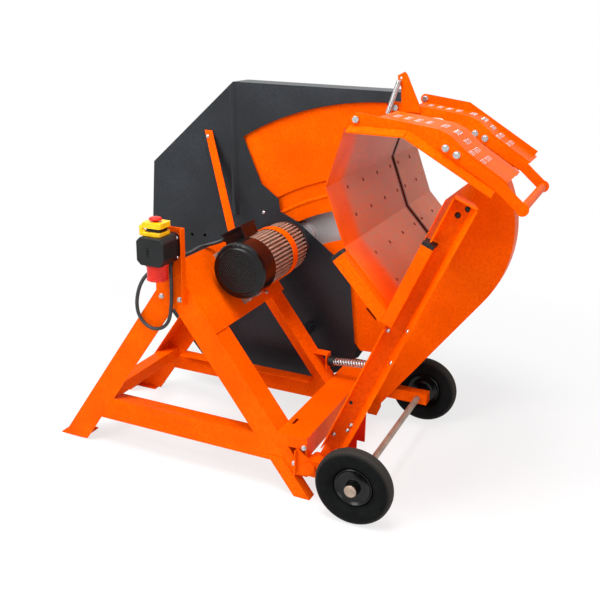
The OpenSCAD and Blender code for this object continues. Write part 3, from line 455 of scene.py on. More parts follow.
# %% Ground saw steel
steel, tree, shader, place = finish_of("ground_saw_steel")
shaft = shop([ARBOR[0], 0, ARBOR[1]])
about = put(tree, "ShaderNodeMapping", {"Vector": place, "Location": (-shaft[0], 0, -shaft[2]),
                                        "Scale": (1, 0, 1)}, vector_type="POINT")
reach = put(tree, "ShaderNodeVectorMath", {0: about.outputs["Vector"]}, operation="LENGTH")
rings = put(tree, "ShaderNodeTexNoise",
            {"W": reach.outputs["Value"], "Scale": MM / 2, "Detail": 4.0},
            noise_dimensions="1D")
colour = put(tree, "ShaderNodeValToRGB", {"Fac": rings.outputs["Fac"]},
             stops=[(0.25, "#b4b6b8"), (0.75, "#dcdddf")])
gloss = put(tree, "ShaderNodeMapRange",
            {"Value": rings.outputs["Fac"], "To Min": 0.25, "To Max": 0.45})
feed(tree, shader, {"Base Color": colour.outputs["Color"], "Roughness": gloss.outputs["Result"],
                    "Metallic": 0.55})
print(steel.name)

# %% [markdown]
# Rubber-sheathed cable: soft black, half matt, with a faint ripple from extrusion.

# %% Rubber cable sheath
sheath, tree, shader, place = finish_of("rubber_cable_sheath")
patch = put(tree, "ShaderNodeTexNoise", {"Vector": place, "Scale": MM / 20, "Detail": 3.0})
colour = put(tree, "ShaderNodeValToRGB", {"Fac": patch.outputs["Fac"]},
             stops=[(0.3, "#1b1c1d"), (0.7, "#2a2b2c")])
bump = put(tree, "ShaderNodeBump",
           {"Height": patch.outputs["Fac"], "Strength": 0.2, "Distance": 0.0005})
feed(tree, shader, {"Base Color": colour.outputs["Color"], "Normal": bump.outputs["Normal"],
                    "Roughness": 0.5})
print(sheath.name)

# %% [markdown]
# Two signal plastics: the red of the inlet and the stop button, and the yellow of
# the stop housing. Both are glossy mouldings with a slight cloud in the colour.

# %% Signal plastics
signal = {}
for name, low, high in (("red_nylon", "#c4170c", "#d82818"),
                        ("yellow_nylon", "#e9ad06", "#f8c81a")):
    signal[name], tree, shader, place = finish_of(name)
    patch = put(tree, "ShaderNodeTexNoise", {"Vector": place, "Scale": MM / 18, "Detail": 3.0})
    colour = put(tree, "ShaderNodeValToRGB", {"Fac": patch.outputs["Fac"]},
                 stops=[(0.3, low), (0.7, high)])
    grain = put(tree, "ShaderNodeTexNoise", {"Vector": place, "Scale": MM / 2, "Detail": 2.0})
    bump = put(tree, "ShaderNodeBump",
               {"Height": grain.outputs["Fac"], "Strength": 0.15, "Distance": 0.0003})
    feed(tree, shader, {"Base Color": colour.outputs["Color"], "Normal": bump.outputs["Normal"],
                        "Roughness": 0.34, "IOR": 1.35})
print(sorted(signal))

# %% [markdown]
# Each solid of the frame takes the finish of its slot in the record. A few have a
# finish of their own.

# %% Finishes on the solids
finishes = {
    "orange_paint": orange, "black_paint": black, "red_paint": red, "black_parts": plastic,
    "motor_body": alloy, "tyre": rubber, "zinc": zinc, "blade_steel": steel, "cable": sheath,
    "red_plastic": signal["red_nylon"], "yellow_plastic": signal["yellow_nylon"],
}
OWN = {"front_trough": rubbed_and_sheen, "rear_trough": rubbed_and_sheen, "motor_fan_cover": enamel,
       "motor_terminal_box": enamel, "wheel_axle": alloy}
for part in frame["record"]["subparts"]:
    mesh = nodes[part["node"]].data
    mesh.materials.clear()
    mesh.materials.append(OWN.get(part["node"], finishes[part["material_slot"]]))
    mesh.polygons.foreach_set("use_smooth", np.ones(len(mesh.polygons), bool))
print("finishes:", len(finishes))

# %% [markdown]
# The solids have razor edges, and folded sheet never has, so a narrow bevel rounds
# them. Weld joins the loose triangles first, and a planar Decimate melts flat faces
# together, so that the bevel runs clean. Weighted normals then keep the wide faces
# flat. Sheets with shallow folds take the bevel from a smaller angle, so that each
# fold shows.

# %% Rounded edges
WELD_GAP = 0.00002
SOFT_EDGE = 0.0012
EDGE = {"saw_blade": 0.0003, "guard_front_sheet": 0.0005, "guard_rear_sheet": 0.0005,
        "guard_rim": 0.0004, "stop_flap": 0.002, "switch_box": 0.003,
        "motor_terminal_box": 0.004}
FLAT, FOLD, CORNER = np.radians([0.5, 12, 30])
WHOLE = ("guard_rim", "shroud_rim", "front_trough", "rear_trough")
FOLDED = ("guard_rim", "front_trough", "rear_trough", "front_claw", "rear_claw")
for part in frame["record"]["subparts"]:
    name = part["node"]
    steps = nodes[name].modifiers
    weld = steps.new("join", "WELD")
    weld.merge_threshold = WELD_GAP
    if name not in WHOLE:
        melt = steps.new("melt", "DECIMATE")
        melt.decimate_type = "DISSOLVE"
        melt.angle_limit = FLAT
    edge = steps.new("round", "BEVEL")
    edge.width = EDGE.get(name, SOFT_EDGE)
    edge.segments = 2
    edge.limit_method = "ANGLE"
    edge.angle_limit = FOLD if name in FOLDED else CORNER
    edge.harden_normals = True
    even = steps.new("even", "WEIGHTED_NORMAL")
    even.weight = 100
print("usual edge", SOFT_EDGE, "m")

# %% [markdown]
# The motor cable leaves the switch box downwards, hangs in a loop beside the front
# leg, and climbs to the terminal box. It follows the route of its solid, smoothly
# through the points: each span is a Catmull-Rom cubic.

# %% Cable route
ROUTE = shop([
    [499, -15.4, 733.8], [499, -15.4, 711.8], [499, -15.4, 684], [499, -15.4, 645],
    [497, -15.4, 600], [490, -15.4, 552], [475, -15.4, 521], [449, -15.4, 502],
    [417, -15.4, 499], [388, -15.4, 513], [369, -15.4, 540], [364, -15.4, 573],
    [369, -15.4, 608], [380, -13, 642], [394, -2, 670], [410, 22, 688], [426, 52, 699],
    [442, 85, 707], [457, 118, 714.5], [471, 152, 721], [484.5, 185, 731.5],
    [497.5, 209.5, 734.5], [518, 230.5, 739.5], [538.06, 239.6, 747.46],
    [553.79, 241.2, 755.84],
])


def smooth_line(points, steps):
    """Catmull-Rom: each span is a cubic whose slopes come from its neighbours."""
    p = np.concatenate([points[:1], points, points[-1:]])
    t = (np.arange(steps) / steps)[None, :, None]
    a, b, c, d = (p[k:len(p) - 3 + k, None] for k in range(4))
    line = 0.5 * (2 * b + (c - a) * t + (2 * a - 5 * b + 4 * c - d) * t**2
                  + (3 * b - a - 3 * c + d) * t**3)
    return np.concatenate([line.reshape(-1, 3), points[-1:]])


line = smooth_line(ROUTE, 6)

# %% [markdown]
# The cable itself is a curve with a round section along that line.

# %% Motor cable
CABLE_D = 0.012
wire = bpy.data.curves.new("motor_cable_sheath", "CURVE")
wire.dimensions = "3D"
spline = wire.splines.new("POLY")
spline.points.add(len(line) - 1)
spline.points.foreach_set("co", np.c_[line, np.ones(len(line))].ravel())
wire.bevel_depth = CABLE_D / 2
wire.bevel_resolution = 4
wire.use_fill_caps = True
wire.materials.append(sheath)
cable = bpy.data.objects.new("motor_cable_sheath", wire)
bpy.context.scene.collection.objects.link(cable)
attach(cable, "base")
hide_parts("motor_cable")
print("cable points", len(line))

# %% [markdown]
# Round parts are profiles carried about an axis. Every profile is a list of radius
# and height; the axis can point anywhere.

# %% Turned shapes


def around(axis):
    """The unit axis and two unit vectors square to it."""
    axis = np.asarray(axis, float) / np.linalg.norm(axis)
    side = np.cross(axis, [0.0, 0.0, 1.0] if abs(axis[2]) < 0.9 else [1.0, 0.0, 0.0])
    side /= np.linalg.norm(side)
    return axis, side, np.cross(axis, side)


def turned(profile, centre, axis, columns, six=None):
    """Grid of a profile about an axis: centre + h axis + r(cos w side + sin w up).

    six gives each row's share of a hexagon: the radius grows by 1 / cos of the
    angle from the nearest flat.
    """
    axis, side, up = around(axis)
    r, h = np.asarray(profile, float).T / 1000
    w = np.linspace(0, 2 * np.pi, columns + 1)
    w[-1] = 0
    grow = np.ones((len(r), columns + 1))
    if six is not None:
        nut = 1 / np.cos(np.mod(w, np.pi / 3) - np.pi / 6) - 1
        grow += np.asarray(six)[:, None] * nut[None, :]
    ring = np.cos(w)[:, None] * side + np.sin(w)[:, None] * up
    return np.asarray(centre) + h[:, None, None] * axis + (r[:, None] * grow)[..., None] * ring


print("y axis and its two sides:", *around((0, 1, 0)))

# %% [markdown]
# Bolt heads are turned shapes too: a hexagon on its washer, and the shallow dome of a
# cup-square bolt. Many heads that face one way make one piece.

# %% Bolt heads


def hex_head(size):
    """Profile of a washer and a hexagon head, and each row's share of a hexagon."""
    a = size / 2
    rows = [(0, 0), (a * 1.35, 0), (a * 1.35, size * 0.1), (a, size * 0.1), (a, size * 0.5),
            (a * 0.93, size * 0.56), (0, size * 0.56)]
    return rows, [0, 0, 0, 1, 1, 0, 0]


def bolts(name, places, axis, size, body):
    """Hexagon heads at workshop points, all facing along one axis."""
    rows, six = hex_head(size)
    grids = [turned(rows, p, axis, 24, six) for p in shop(places)]
    return skin(name, grids, body, zinc)


def dome_head(size):
    """Profile of a cup-square bolt head: a shallow dome."""
    w = np.linspace(0, np.pi / 2, 6)
    return [(0, 0)] + list(zip(size / 2 * np.cos(w), size * 0.28 * np.sin(w)))


def domes(name, places, axis, size, body):
    """Dome heads at workshop points, all facing along one axis."""
    grids = [turned(dome_head(size), p, axis, 20) for p in shop(places)]
    return skin(name, grids, body, zinc)


print("hexagon rows:", len(hex_head(10)[0]))

# %% [markdown]
# The wheels are solid rubber on pressed discs. The tyre is one profile: a crowned
# tread with two shallow grooves, round shoulders and a wall that falls in to the rim.
# The disc is a deep dish with a hub tube. Each profile is one half, from the bore out
# or back to it, and its mirror image. A pressed cap is pushed on each end of the axle.

# %% Tyres and wheel discs
HALF = np.array([(62.3, 6), (66, 12.5), (72, 19), (80, 24.3), (89, 27.4), (98, 28),
                 (107, 26.6), (114.5, 23.4), (120, 18.8), (123, 14), (124.3, 10.5),
                 (122.8, 9.5), (122.8, 8.3), (124.5, 7.3), (125, 3)])
DISH = np.array([(62.2, 6.5), (61.2, 11), (59.5, 12.2), (57.6, 11.2), (55.2, 8), (52, 5.2),
                 (47, 3.2), (41, 2.4), (34, 2.4), (28, 3.2), (24.5, 5.5), (22, 12),
                 (20.5, 30), (19.5, 31.5), (11.1, 31.5)])
CAP = [(0, -4.6), (18.8, -4.6), (19.6, -4), (19.6, -3), (18.9, -1.4), (17.6, -0.3),
       (16.4, 0.1), (0, 0.15)]
TYRE = np.concatenate([HALF * (1, -1), HALF[::-1], HALF[:1] * (1, -1)])
DISC = np.concatenate([DISH * (1, -1), DISH[::-1], DISH[:1] * (1, -1)])
BACK = (0, 1, 0)
WHEEL_Y = {"front": -50.0, "rear": 712.0}
AXLE_ENDS = ((-87.0, -1), (749.0, 1))
for side, y in WHEEL_Y.items():
    middle = shop([WHEEL[0], y, WHEEL[1]])
    skin(side + "_tyre_tread", turned(TYRE, middle, BACK, 96), side + "_wheel", rubber,
         [side + "_tyre"])
    skin(side + "_wheel_disc", turned(DISC, middle, BACK, 96), side + "_wheel",
         enamel, [side + "_wheel_rim"])
caps = [turned(CAP, shop([WHEEL[0], y, WHEEL[1]]), (0, way, 0), 40) for y, way in AXLE_ENDS]
skin("axle_caps", caps, "base", alloy)

# %% [markdown]
# Springs are wire on a helix. The wire's own section is a circle in the plane of
# the coil axis and the outward direction, which keeps it round along the helix.
# The end turns lie nearly flat, as ground spring ends do.

# %% Wire springs


def capped(rings):
    """Rings with one more row at each end, drawn to the middle of the end ring."""
    ends = [np.broadcast_to(rings[k, :-1].mean(axis=0), rings[k].shape)[None] for k in (0, -1)]
    return np.concatenate([ends[0], rings, ends[1]])


def helix(a, b, radius, wire_r, turns, flat_turns=0.8, steps=28, sides=10):
    """Grid of wire on a helix: the height rises evenly, and slower in the end turns."""
    a, b = np.asarray(a, float), np.asarray(b, float)
    axis, side, up = around(b - a)
    t = np.linspace(0, turns, int(turns * steps) + 1)
    pitch = np.clip(np.minimum(t, turns - t) / flat_turns, 0.25, 1)
    rise = np.concatenate([[0], np.cumsum((pitch[1:] + pitch[:-1]) / 2)])
    rise = rise / rise[-1] * (np.linalg.norm(b - a) - 2 * wire_r) + wire_r
    w = 2 * np.pi * t
    out = np.cos(w)[:, None] * side + np.sin(w)[:, None] * up
    core = a + rise[:, None] * axis + radius * out
    v = np.linspace(0, 2 * np.pi, sides + 1)
    v[-1] = 0
    ring = np.cos(v)[None, :, None] * axis + np.sin(v)[None, :, None] * out[:, None]
    return capped(core[:, None] + wire_r * ring)


SPRING_A = shop([858.9, 460, 282])
SPRING_B = shop([1007.5, 460, 296])
coils = helix(SPRING_A, SPRING_B, radius=0.012, wire_r=0.0026, turns=15)
push = skin("return_spring_wire", coils, "base", zinc, ["return_spring"])
along = SPRING_B - SPRING_A
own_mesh(push)

# %% [markdown]
# The lid's spring is an extension spring, wound tight. Its lower end sits on the
# cradle and its upper end on the lid. The coils are attached to neither body.

# %% Lid spring and spring cup
LID_A = shop([1058.6, 371.8, 1190.8])
LID_B = shop([1090.2, 371.8, 1293.4])
coils = helix(LID_A, LID_B, radius=0.0066, wire_r=0.0014, turns=36, flat_turns=0.5, steps=18,
              sides=8)
pull = skin("lid_spring_wire", coils, None, zinc, ["lid_spring"])
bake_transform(pull)
CUP = [(15.8, 0), (18.5, 0), (19, 0.6), (19, 20), (18.5, 20.6), (15.8, 20.6), (15.8, 0)]
skin("spring_cup", turned(CUP, SPRING_A, along, 40), "base", plastic)

# %% [markdown]
# The frame's bolts sit at plain places, and the motor's on its slope, which falls to
# the right: a place there is a distance down the slope and one out from it.

# %% Bolts on the base
FRONT = (0, -1, 0)
GUARD_FACE = 588
SLOPE_MIDDLE = np.array([570.37, 0, 617])
SLOPE_DOWN = np.array([0.6032, 0, -0.7976])
SLOPE_OUT = np.array([0.7976, 0, 0.6032])


def slope(down, y, out):
    """Workshop point: the slope's middle + down * its fall + out * its normal, at y."""
    return SLOPE_MIDDLE + down * SLOPE_DOWN + out * SLOPE_OUT + (0, y, 0)


bolts("bracket_bolts", [[453.8, -4.2, 611.9], [522.5, -4.2, 610.3], [965.5, -4.2, 185.7]],
      FRONT, 13, "base")
bolts("leg_bolts", [[932, 0, 121]], FRONT, 13, "base")
bolts("motor_bolts", [slope(k, y, 16.6) for k in (-92, 92) for y in (247, 327)]
      + [slope(k, 375, 8.6) for k in (-104, 104)], SLOPE_OUT, 13, "base")
domes("guard_bolts", [[522.9, GUARD_FACE, 770.9], [292, 577, 1038]], FRONT, 14, "base")

# %% [markdown]
# The arm leans, so its bolts are placed by two distances: across the arm and up the
# arm from the pivot. Its folded flange looks to the left and a little forward.

# %% Bolts on the cradle and the lid
ARM_FACE = 46


def arm(u, s, y):
    """Workshop point on the front arm, u across it and s up it from the pivot."""
    x, z = PIVOT + u * ARM_U + s * ARM_S
    return [x, y, z]


domes("arm_bolts", [arm(u, s, ARM_FACE) for u, s in ((8, 118), (41, 158), (43, 182), (3, 529))],
      FRONT, 16, "cradle")
top_bolts = shop([arm(23.6, 934, ARM_FACE), arm(40, 962, ARM_FACE)])
skin("arm_top_bolts", [turned(dome_head(17), p, FRONT, 20) for p in top_bolts], "cradle",
     plastic)
FLANGE = -0.885 * np.array([ARM_U[0], 0, ARM_U[1]]) - 0.466 * np.array([0, 1, 0])
domes("flange_bolts", [arm(59.6, 459, 15.8), arm(57.2, 572, 20.6)], FLANGE, 14, "cradle")
bolts("lid_bolts", [[1333, 35.8, 1151.7], [1364.5, 35.8, 1136.7], [1332.2, 383.8, 1149.6],
                    [1363.4, 383.8, 1137.1], [1137.9, 506, 1230.05]], FRONT, 15, "hold_down")

# %% [markdown]
# The trough's panels are plug-welded to the ribs behind them. Each plug stands a
# little proud, and its dark red-brown is painted shade. The plugs are in rows on
# the inner faces, and each row faces square out of its panel.

# %% Plug welds in the trough
plug_shade, tree, shader, place = finish_of("plug_weld_painted_shade")
patch = put(tree, "ShaderNodeTexNoise", {"Vector": place, "Scale": MM / 4, "Detail": 3.0})
# Both stops are painted shade: the plugs are drawn darker than the orange around them.
colour = put(tree, "ShaderNodeValToRGB", {"Fac": patch.outputs["Fac"]},
             stops=[(0.3, "#5a1c0c"), (0.7, "#a83a14")])
feed(tree, shader, {"Base Color": colour.outputs["Color"], "Roughness": 0.5})
CORNERS = np.array([[1045.906, 1180.051], [995.033, 1013.654], [1059.539, 845.61],
                    [1204.805, 689.831], [1342.733, 1014.77]])
STATIONS = (190, 325, 460, 595, 685, 820)


def panel_row(first, share):
    """Points of one row on a trough panel, and the panel's inward direction."""
    a, b = CORNERS[first], CORNERS[first + 1]
    x, z = a + share * (b - a)
    d = (b - a) / np.linalg.norm(b - a)
    return [[x, y, z] for y in STATIONS], (-d[1], 0, d[0])


for first, share in ((1, 0.15), (1, 0.63), (2, 0.31), (2, 0.8), (3, 0.3), (3, 0.75)):
    row, inward = panel_row(first, share)
    grids = [turned(dome_head(12), p, inward, 16) for p in shop(row)]
    skin(f"plug_welds_{first}_{int(share * 100)}", grids, "cradle", plug_shade)

# %% [markdown]
# The shroud's front plate has a second skin on its upper part, which ends in a step
# along an arc, and a pressed bead follows the same centre below it. Each is one
# cross-section, radius against depth, carried round the pivot.

# %% Shroud skin and bead


def carried(section, start, stop, steps):
    """Grid of a (radius, y) section turned about the pivot from start to stop degrees."""
    section = np.asarray(section, float)
    w = np.radians(np.linspace(start, stop, steps))[:, None]
    x, z = PIVOT[0] + np.cos(w) * section[:, 0], PIVOT[1] + np.sin(w) * section[:, 0]
    return capped(shop(np.stack([x, np.broadcast_to(section[:, 1], x.shape), z], axis=2)))


SKIN = [(820, 606.4), (820, 601), (822, 599.4), (1088, 599.4), (1090, 601), (1090, 606.4),
        (820, 606.4)]
BEAD = [(773, 606.4), (769, 603.4), (766, 602.2), (763, 602.2), (760, 603.4), (756, 606.4),
        (773, 606.4)]
skin("shroud_skin", carried(SKIN, 90.6, 125.8, 45), "cradle", orange)
skin("shroud_bead", carried(BEAD, 94, 125.8, 41), "cradle", orange)

# %% [markdown]
# The guard's front sheet is stiffened by an upright rib, pressed from behind. Its
# cross-section is carried up a straight line.

# %% Guard rib
RIB = np.array([(-16, 0.4), (-7, -5), (0, -7), (7, -5), (16, 0.4), (0, 0.6), (-16, 0.4)])
foot_to_top = np.linspace([406, 752], [394, 1228], 9)
x = foot_to_top[:, :1] + RIB[:, 0]
y = np.broadcast_to(GUARD_FACE + RIB[:, 1], x.shape)
z = np.broadcast_to(foot_to_top[:, 1:], x.shape)
skin("guard_rib", capped(shop(np.stack([x, y, z], axis=2))), "base", black)

# %% [markdown]
# Below its rim the guard ends in a skirt on each side: the sheets reach down behind
# the rear rail. A skirt is a flat outline with a thickness.

# %% Guard skirts
SKIRT = np.array([(240, 146), (908, 284), (903, 240), (884, 207), (770, 140), (286, 91),
                  (240, 146)], float)
SKIRT_Y = (588.3, 702.3)
SHEET_T = 1.4
skirts = [capped(shop([np.insert(SKIRT, 1, y + t, axis=1) for t in (0, SHEET_T)]))
          for y in SKIRT_Y]
skin("guard_skirts", skirts, "base", black)

# %% [markdown]
# The fan cover's grille is a plate with close round holes. One hole is drawn in a
# hexagonal tile, and the tiles are laid like a honeycomb up to a ring.

# %% Fan grille
PITCH = 8.6
HOLE_R = 2.7
TILE_GAP = 0.03
HOLE_FLOOR = 0.3
GRILLE_FRONT, GRILLE_BACK = 123.6, 126.4
FAN_FACE = 126
INNER, OUTER = 7, 68
step = np.arange(-9, 10)
i, j = (k.ravel() for k in np.meshgrid(step, step))
tiles = np.stack([PITCH * (i + j / 2), PITCH * j * np.sqrt(0.75)], axis=1)
far = np.linalg.norm(tiles, axis=1)
tiles = tiles[(far < OUTER) & (far > INNER)]


def honeycomb(centres, hole, front, back):
    """Tiles with a blind hole: back's middle, hexagon, forward, in to the hole, down it.

    The hexagon's radius is half the pitch, less a gap, over the cosine of the angle
    from the nearest flat.
    """
    w = np.linspace(0, 2 * np.pi, 13)
    six = (PITCH / 2 - TILE_GAP) / np.cos(np.mod(w + np.pi / 6, np.pi / 3) - np.pi / 6)
    r = np.stack([0 * w, six, six, hole + 0 * w, hole + 0 * w, 0 * w])
    r[:, -1] = r[:, 0]
    y = np.array([back, back, front, front, back - HOLE_FLOOR, back - HOLE_FLOOR])
    w[-1] = 0
    x = ARBOR[0] + centres[:, :1, None] + r * np.cos(w)
    z = ARBOR[1] + centres[:, 1:, None] + r * np.sin(w)
    return np.stack([x, np.broadcast_to(y[None, :, None], x.shape), z], axis=3)


comb = honeycomb(tiles, HOLE_R, GRILLE_FRONT, GRILLE_BACK)
skin("fan_grille", shop(comb), "base", plastic)
RING = [(66, -0.4), (66, 2.6), (69, 3.4), (75, 2.6), (79, -0.4), (66, -0.4)]
HUB = [(0, -0.4), (9, -0.4), (9, 3), (7, 3.8), (3, 3.8), (2.4, 2), (0, 2)]
fan_face = shop([ARBOR[0], FAN_FACE, ARBOR[1]])
skin("grille_ring", turned(RING, fan_face, FRONT, 64), "base", enamel)
skin("grille_hub", turned(HUB, fan_face, FRONT, 24), "base", plastic)

# %% [markdown]
# The lid's treads are punched with rows of slots. A bright zinc lip in each is a
# painted glint: it stands in for the highlight on the slot's edge. One lip is a flat
# dome on a rounded-oblong outline: a superellipse that shrinks to its middle as it
# rises. A slot is a place from the hinge and a lean in degrees, a row is a share of
# the tread's depth, and the steep end has more rows.

# %% Slot lips, painted glints
SLOTS = [(95, 7.1, 7.2), (125, 3.3, 7.2), (155, -0.4, 7.2), (185, -4.2, 7.2), (229, -10, 7),
         (266, -24, 28), (294, -47, 40), (321, -68, 32), (353, -88, 32)]
TREADS = ((40, 145), (388, 122))
BACK_ROWS = (0.42, 0.55, 0.68)
ALL_ROWS = (0.11, 0.23, 0.42, 0.55, 0.68)
WIDE_FROM = 7


def lip(x, z, lean, y, length, width, height):
    """Superellipse rings: root of cos along the tread, root of sin across it."""
    w = np.linspace(0, 2 * np.pi, 17)
    w[-1] = 0
    v = np.array([0, 1, 0.85, 0.6, 0.0])[:, None]
    h = np.array([-0.8, -0.8, 0.2, 0.35, 0.4])[:, None] * height
    a = v * np.sign(np.cos(w)) * np.abs(np.cos(w)) ** 0.5 * length / 2
    b = v * np.sign(np.sin(w)) * np.abs(np.sin(w)) ** 0.5 * width / 2
    c, d = np.cos(np.radians(lean)), np.sin(np.radians(lean))
    return np.stack([HINGE[0] + x + a * c + h * d, y + b, HINGE[1] + z - a * d + h * c], axis=2)


# Each bright zinc lip is a painted glint on the tread.
glint_lips = [lip(x, z, lean, y0 + depth * row, length=19, width=6.4, height=3)
        for y0, depth in TREADS for k, (x, z, lean) in enumerate(SLOTS)
        for row in (ALL_ROWS if k >= WIDE_FROM else BACK_ROWS)]
skin("slot_glint_lips", shop(glint_lips), "hold_down", zinc)

# %% [markdown]
# The front tread ends in a folded lip along its back edge. The lip's cross-section,
# depth against height, is carried along the tread, and every bend is a mitre. A flat
# plate closes the arm's upper end.

# %% Tread lip and arm end
TREAD = HINGE + np.array([[64, 11], [231, -10], [266, -24], [313, -63], [425, -132]])
LIP = np.array([(184.8, -0.1), (213, -0.1), (216.6, -1.2), (218, -4), (218, -15), (214.4, -15),
                (214.4, -5), (213, -4), (184.8, -4), (184.8, -0.1)])
JOINT = 0.02


def mitred(path, section):
    """Straight runs of a folded strip: path point + height * mitre, at the section's depth.

    A bend's mitre is the sum of both normals over one plus their dot product. Runs
    stop short of the bend by JOINT, so that neighbours share no face.
    """
    d = np.diff(path, axis=0) / np.linalg.norm(np.diff(path, axis=0), axis=1)[:, None]
    n = np.stack([-d[:, 1], d[:, 0]], axis=1)
    inner = (n[1:] + n[:-1]) / (1 + (n[1:] * n[:-1]).sum(axis=1))[:, None]
    mitre = np.concatenate([n[:1], inner, n[-1:]])
    flat = path[:, None] + section[:, 1][None, :, None] * mitre[:, None]
    y = np.broadcast_to(section[:, 0], flat.shape[:2])
    rings = np.stack([flat[..., 0], y, flat[..., 1]], axis=2)
    short = JOINT * np.stack([d[:, 0], 0 * d[:, 0], d[:, 1]], axis=1)[:, None]
    return [capped(shop(np.stack([a + e, b - e])))
            for a, b, e in zip(rings[:-1], rings[1:], short)]


skin("tread_lip", mitred(TREAD, LIP), "hold_down", orange)
END = ((-4, 5), (70, 5), (48, 50), (-4, 50), (-4, 5))
end_rings = [[arm(u, s, y) for u, y in END] for s in (981.6, 985.2)]
skin("arm_end_plate", capped(shop(end_rings)), "cradle", orange)

# %% [markdown]
# The switch box is a two-part moulding with a slotted rocker in its front and two
# screws in its side. A plug closes an unused hole in the arm.

# %% Switch details
SWITCH_FACE = -106.4
KEY = [(0, -0.4), (6.4, -0.4), (6.4, 0.15), (0, 0.15)]
PLUG = [(0, -0.4), (6, -0.4), (6, 0.5), (0, 0.9)]
keys = shop([[478, SWITCH_FACE, z] for z in (795, 785, 775)])
skin("switch_keys", [turned(KEY, p, FRONT, 28) for p in keys], "base", enamel)
domes("switch_screws", [[534, -26, 820], [534, -26, 758]], (1, 0, 0), 9, "base")
skin("arm_plug", turned(PLUG, shop(arm(8.4, 251, ARM_FACE)), FRONT, 20), "cradle",
     enamel)

# %% [markdown]
# The power inlet is a short red collar that hangs under the box: a flange, a waist
# and a rim round a deep bore.

# %% Power inlet
INLET = [(0, 0.2), (36, 0.2), (36, 9), (33, 12), (32.4, 46), (34.6, 48), (34.6, 53),
         (33.6, 54), (28, 54), (27.4, 53), (27.4, 22), (0, 22)]
skin("inlet_collar", turned(INLET, shop([480, -60.4, 742]), (0, 0, -1), 48), "base",
     signal["red_nylon"], ["power_inlet"])

# %% [markdown]
# The stop's lower half is an open tray: a low yellow rim, a dark contact block set
# back from it, a corner post, and two ears that hold the flap's pin. The parts are
# rounded rectangles and one rod.

# %% Stop tray
STOP, TOP = np.array([477.0, -56.4]), 831.2


def slab(middle, size, corner, rows):
    """Rounded rectangle rings: half the size less the corner, by sign, plus an arc.

    Each row is an inset and a height above the box.
    """
    w = 2 * np.pi * (np.arange(33) % 32 + 0.5) / 32
    inset, height = np.asarray(rows, float).T[..., None]
    x = middle[0] + np.sign(np.cos(w)) * (size[0] / 2 - corner) + (corner - inset) * np.cos(w)
    y = middle[1] + np.sign(np.sin(w)) * (size[1] / 2 - corner) + (corner - inset) * np.sin(w)
    return capped(shop(np.stack([x, y, TOP + height + 0 * x], axis=2)))


tray = [slab(STOP, (68, 66), 9, [(1, 0), (0, 1), (0, 10.6), (1.4, 12)]),
        slab(STOP + (-24, -27), (9, 9), 4, [(0, 11), (0.2, 12), (0.2, 19), (0.8, 20)])]
tray += [slab(STOP + (-33.5, y), (12, 12), 3, [(1, 0), (0, 1), (0, 20), (1, 31)])
         for y in (-27, 27)]
skin("stop_tray", tray, "base", signal["yellow_nylon"], ["stop_base"])
contacts = slab(STOP + (3, 2), (50, 48), 6, [(0, 11), (0, 19.4), (1.6, 21)])
skin("stop_contacts", contacts, "base", plastic)
PIN = [(0, 0), (2.4, 0), (2.4, 66), (0, 66)]
skin("flap_pin", turned(PIN, shop([440, -89.4, 858]), BACK, 20), "base",
     signal["yellow_nylon"])

# %% [markdown]
# The stage is a white paper floor. It takes the shadow as a matt sheet near the
# object and turns to plain white further out, for the eye and for mirror images
# alike, so the picture ends in clean white without more light on the object.

# %% White floor


def by_sight(tree):
    """1 for the rays that show a surface to the eye: camera, glossy or transmission."""
    ray = put(tree, "ShaderNodeLightPath")
    seen = ray.outputs["Is Camera Ray"]
    for other in ("Is Glossy Ray", "Is Transmission Ray"):
        more = put(tree, "ShaderNodeMath", {0: seen, 1: ray.outputs[other]}, operation="MAXIMUM")
        seen = more.outputs[0]
    return seen


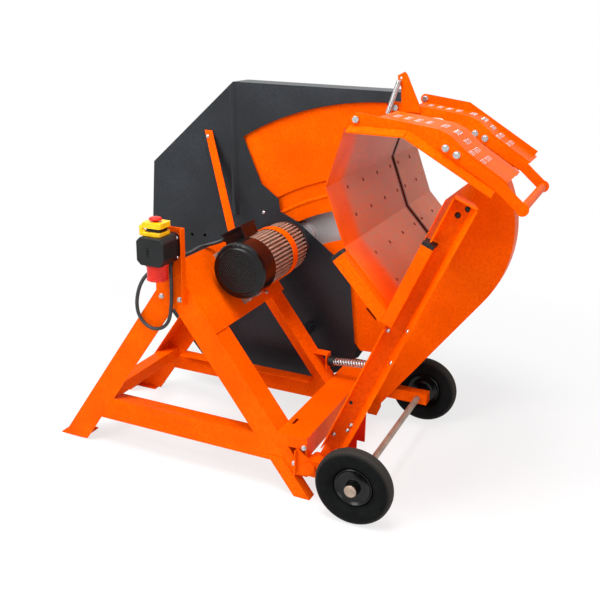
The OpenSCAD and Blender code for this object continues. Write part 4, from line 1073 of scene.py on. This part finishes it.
FLOOR = 14.0
SHADE_END, WHITE_FROM = 0.9, 2.2
floor_mesh = bpy.data.meshes.new("floor")
corners = [(-FLOOR, -FLOOR, 0), (FLOOR, -FLOOR, 0), (FLOOR, FLOOR, 0), (-FLOOR, FLOOR, 0)]
floor_mesh.from_pydata(corners, [], [(0, 1, 2, 3)])
floor = bpy.data.objects.new("floor", floor_mesh)
bpy.context.scene.collection.objects.link(floor)
paper, tree, shader, place = finish_of("white_studio_floor")
tree.nodes.remove(shader)
far = put(tree, "ShaderNodeVectorMath", {0: place}, operation="LENGTH")
fade = put(tree, "ShaderNodeMapRange",
           {"Value": far.outputs["Value"], "From Min": SHADE_END, "From Max": WHITE_FROM,
            "To Min": 0.72, "To Max": 1.0})
white = put(tree, "ShaderNodeMath", {0: by_sight(tree), 1: fade.outputs["Result"]},
            operation="MULTIPLY")
matt = put(tree, "ShaderNodeBsdfDiffuse", {"Color": linear("#f2f2f2")})
glow = put(tree, "ShaderNodeEmission", {"Color": linear("#ffffff"), "Strength": 1.0})
both = put(tree, "ShaderNodeMixShader",
           {0: white.outputs[0], 1: matt.outputs[0], 2: glow.outputs[0]})
surface = next(n for n in tree.nodes if n.type == "OUTPUT_MATERIAL")
feed(tree, surface, {"Surface": both.outputs[0]})
floor_mesh.materials.append(paper)
print("floor", 2 * FLOOR, "m wide")

# %% [markdown]
# The sky is white where it is looked at, and about two fifths as strong where it
# lights: an even room light that leaves the shapes to three soft boxes.

# %% Sky
SKY = 0.38
world = bpy.data.worlds.new("studio")
bpy.context.scene.world = world
world.use_nodes = True
tree = world.node_tree
sky = next(n for n in tree.nodes if n.type == "BACKGROUND")
level = put(tree, "ShaderNodeMapRange", {"Value": by_sight(tree), "To Min": SKY, "To Max": 1.0})
feed(tree, sky, {"Strength": level.outputs["Result"], "Color": linear("#ffffff")})
print("sky lights at", SKY)

# %% [markdown]
# A soft box from the front left is the key, one from the right fills its shadows,
# and one overhead lays a bright edge on the upper folds.

# %% Soft boxes
AIM = np.array([0, 0, 0.6])


def lamp(name, place, size, power):
    """A square area lamp that looks from its place to the middle of the machine."""
    data = bpy.data.lights.new(name, "AREA")
    data.energy = power
    data.size = size
    made = bpy.data.objects.new(name, data)
    bpy.context.scene.collection.objects.link(made)
    z, x, y = around(np.asarray(place, float) - AIM)
    turn = np.eye(4)
    turn[:3, 0], turn[:3, 1], turn[:3, 2], turn[:3, 3] = x, y, z, place
    made.matrix_world = Matrix(turn.tolist())
    print(name, power, "W")


lamp("key", (-1.6, -3.0, 3.0), 2.0, 92)
lamp("fill", (3.0, -2.2, 1.6), 2.0, 35)
lamp("top", (0.0, -1.0, 3.8), 1.8, 130)
bpy.context.scene.view_settings.view_transform = "Standard"
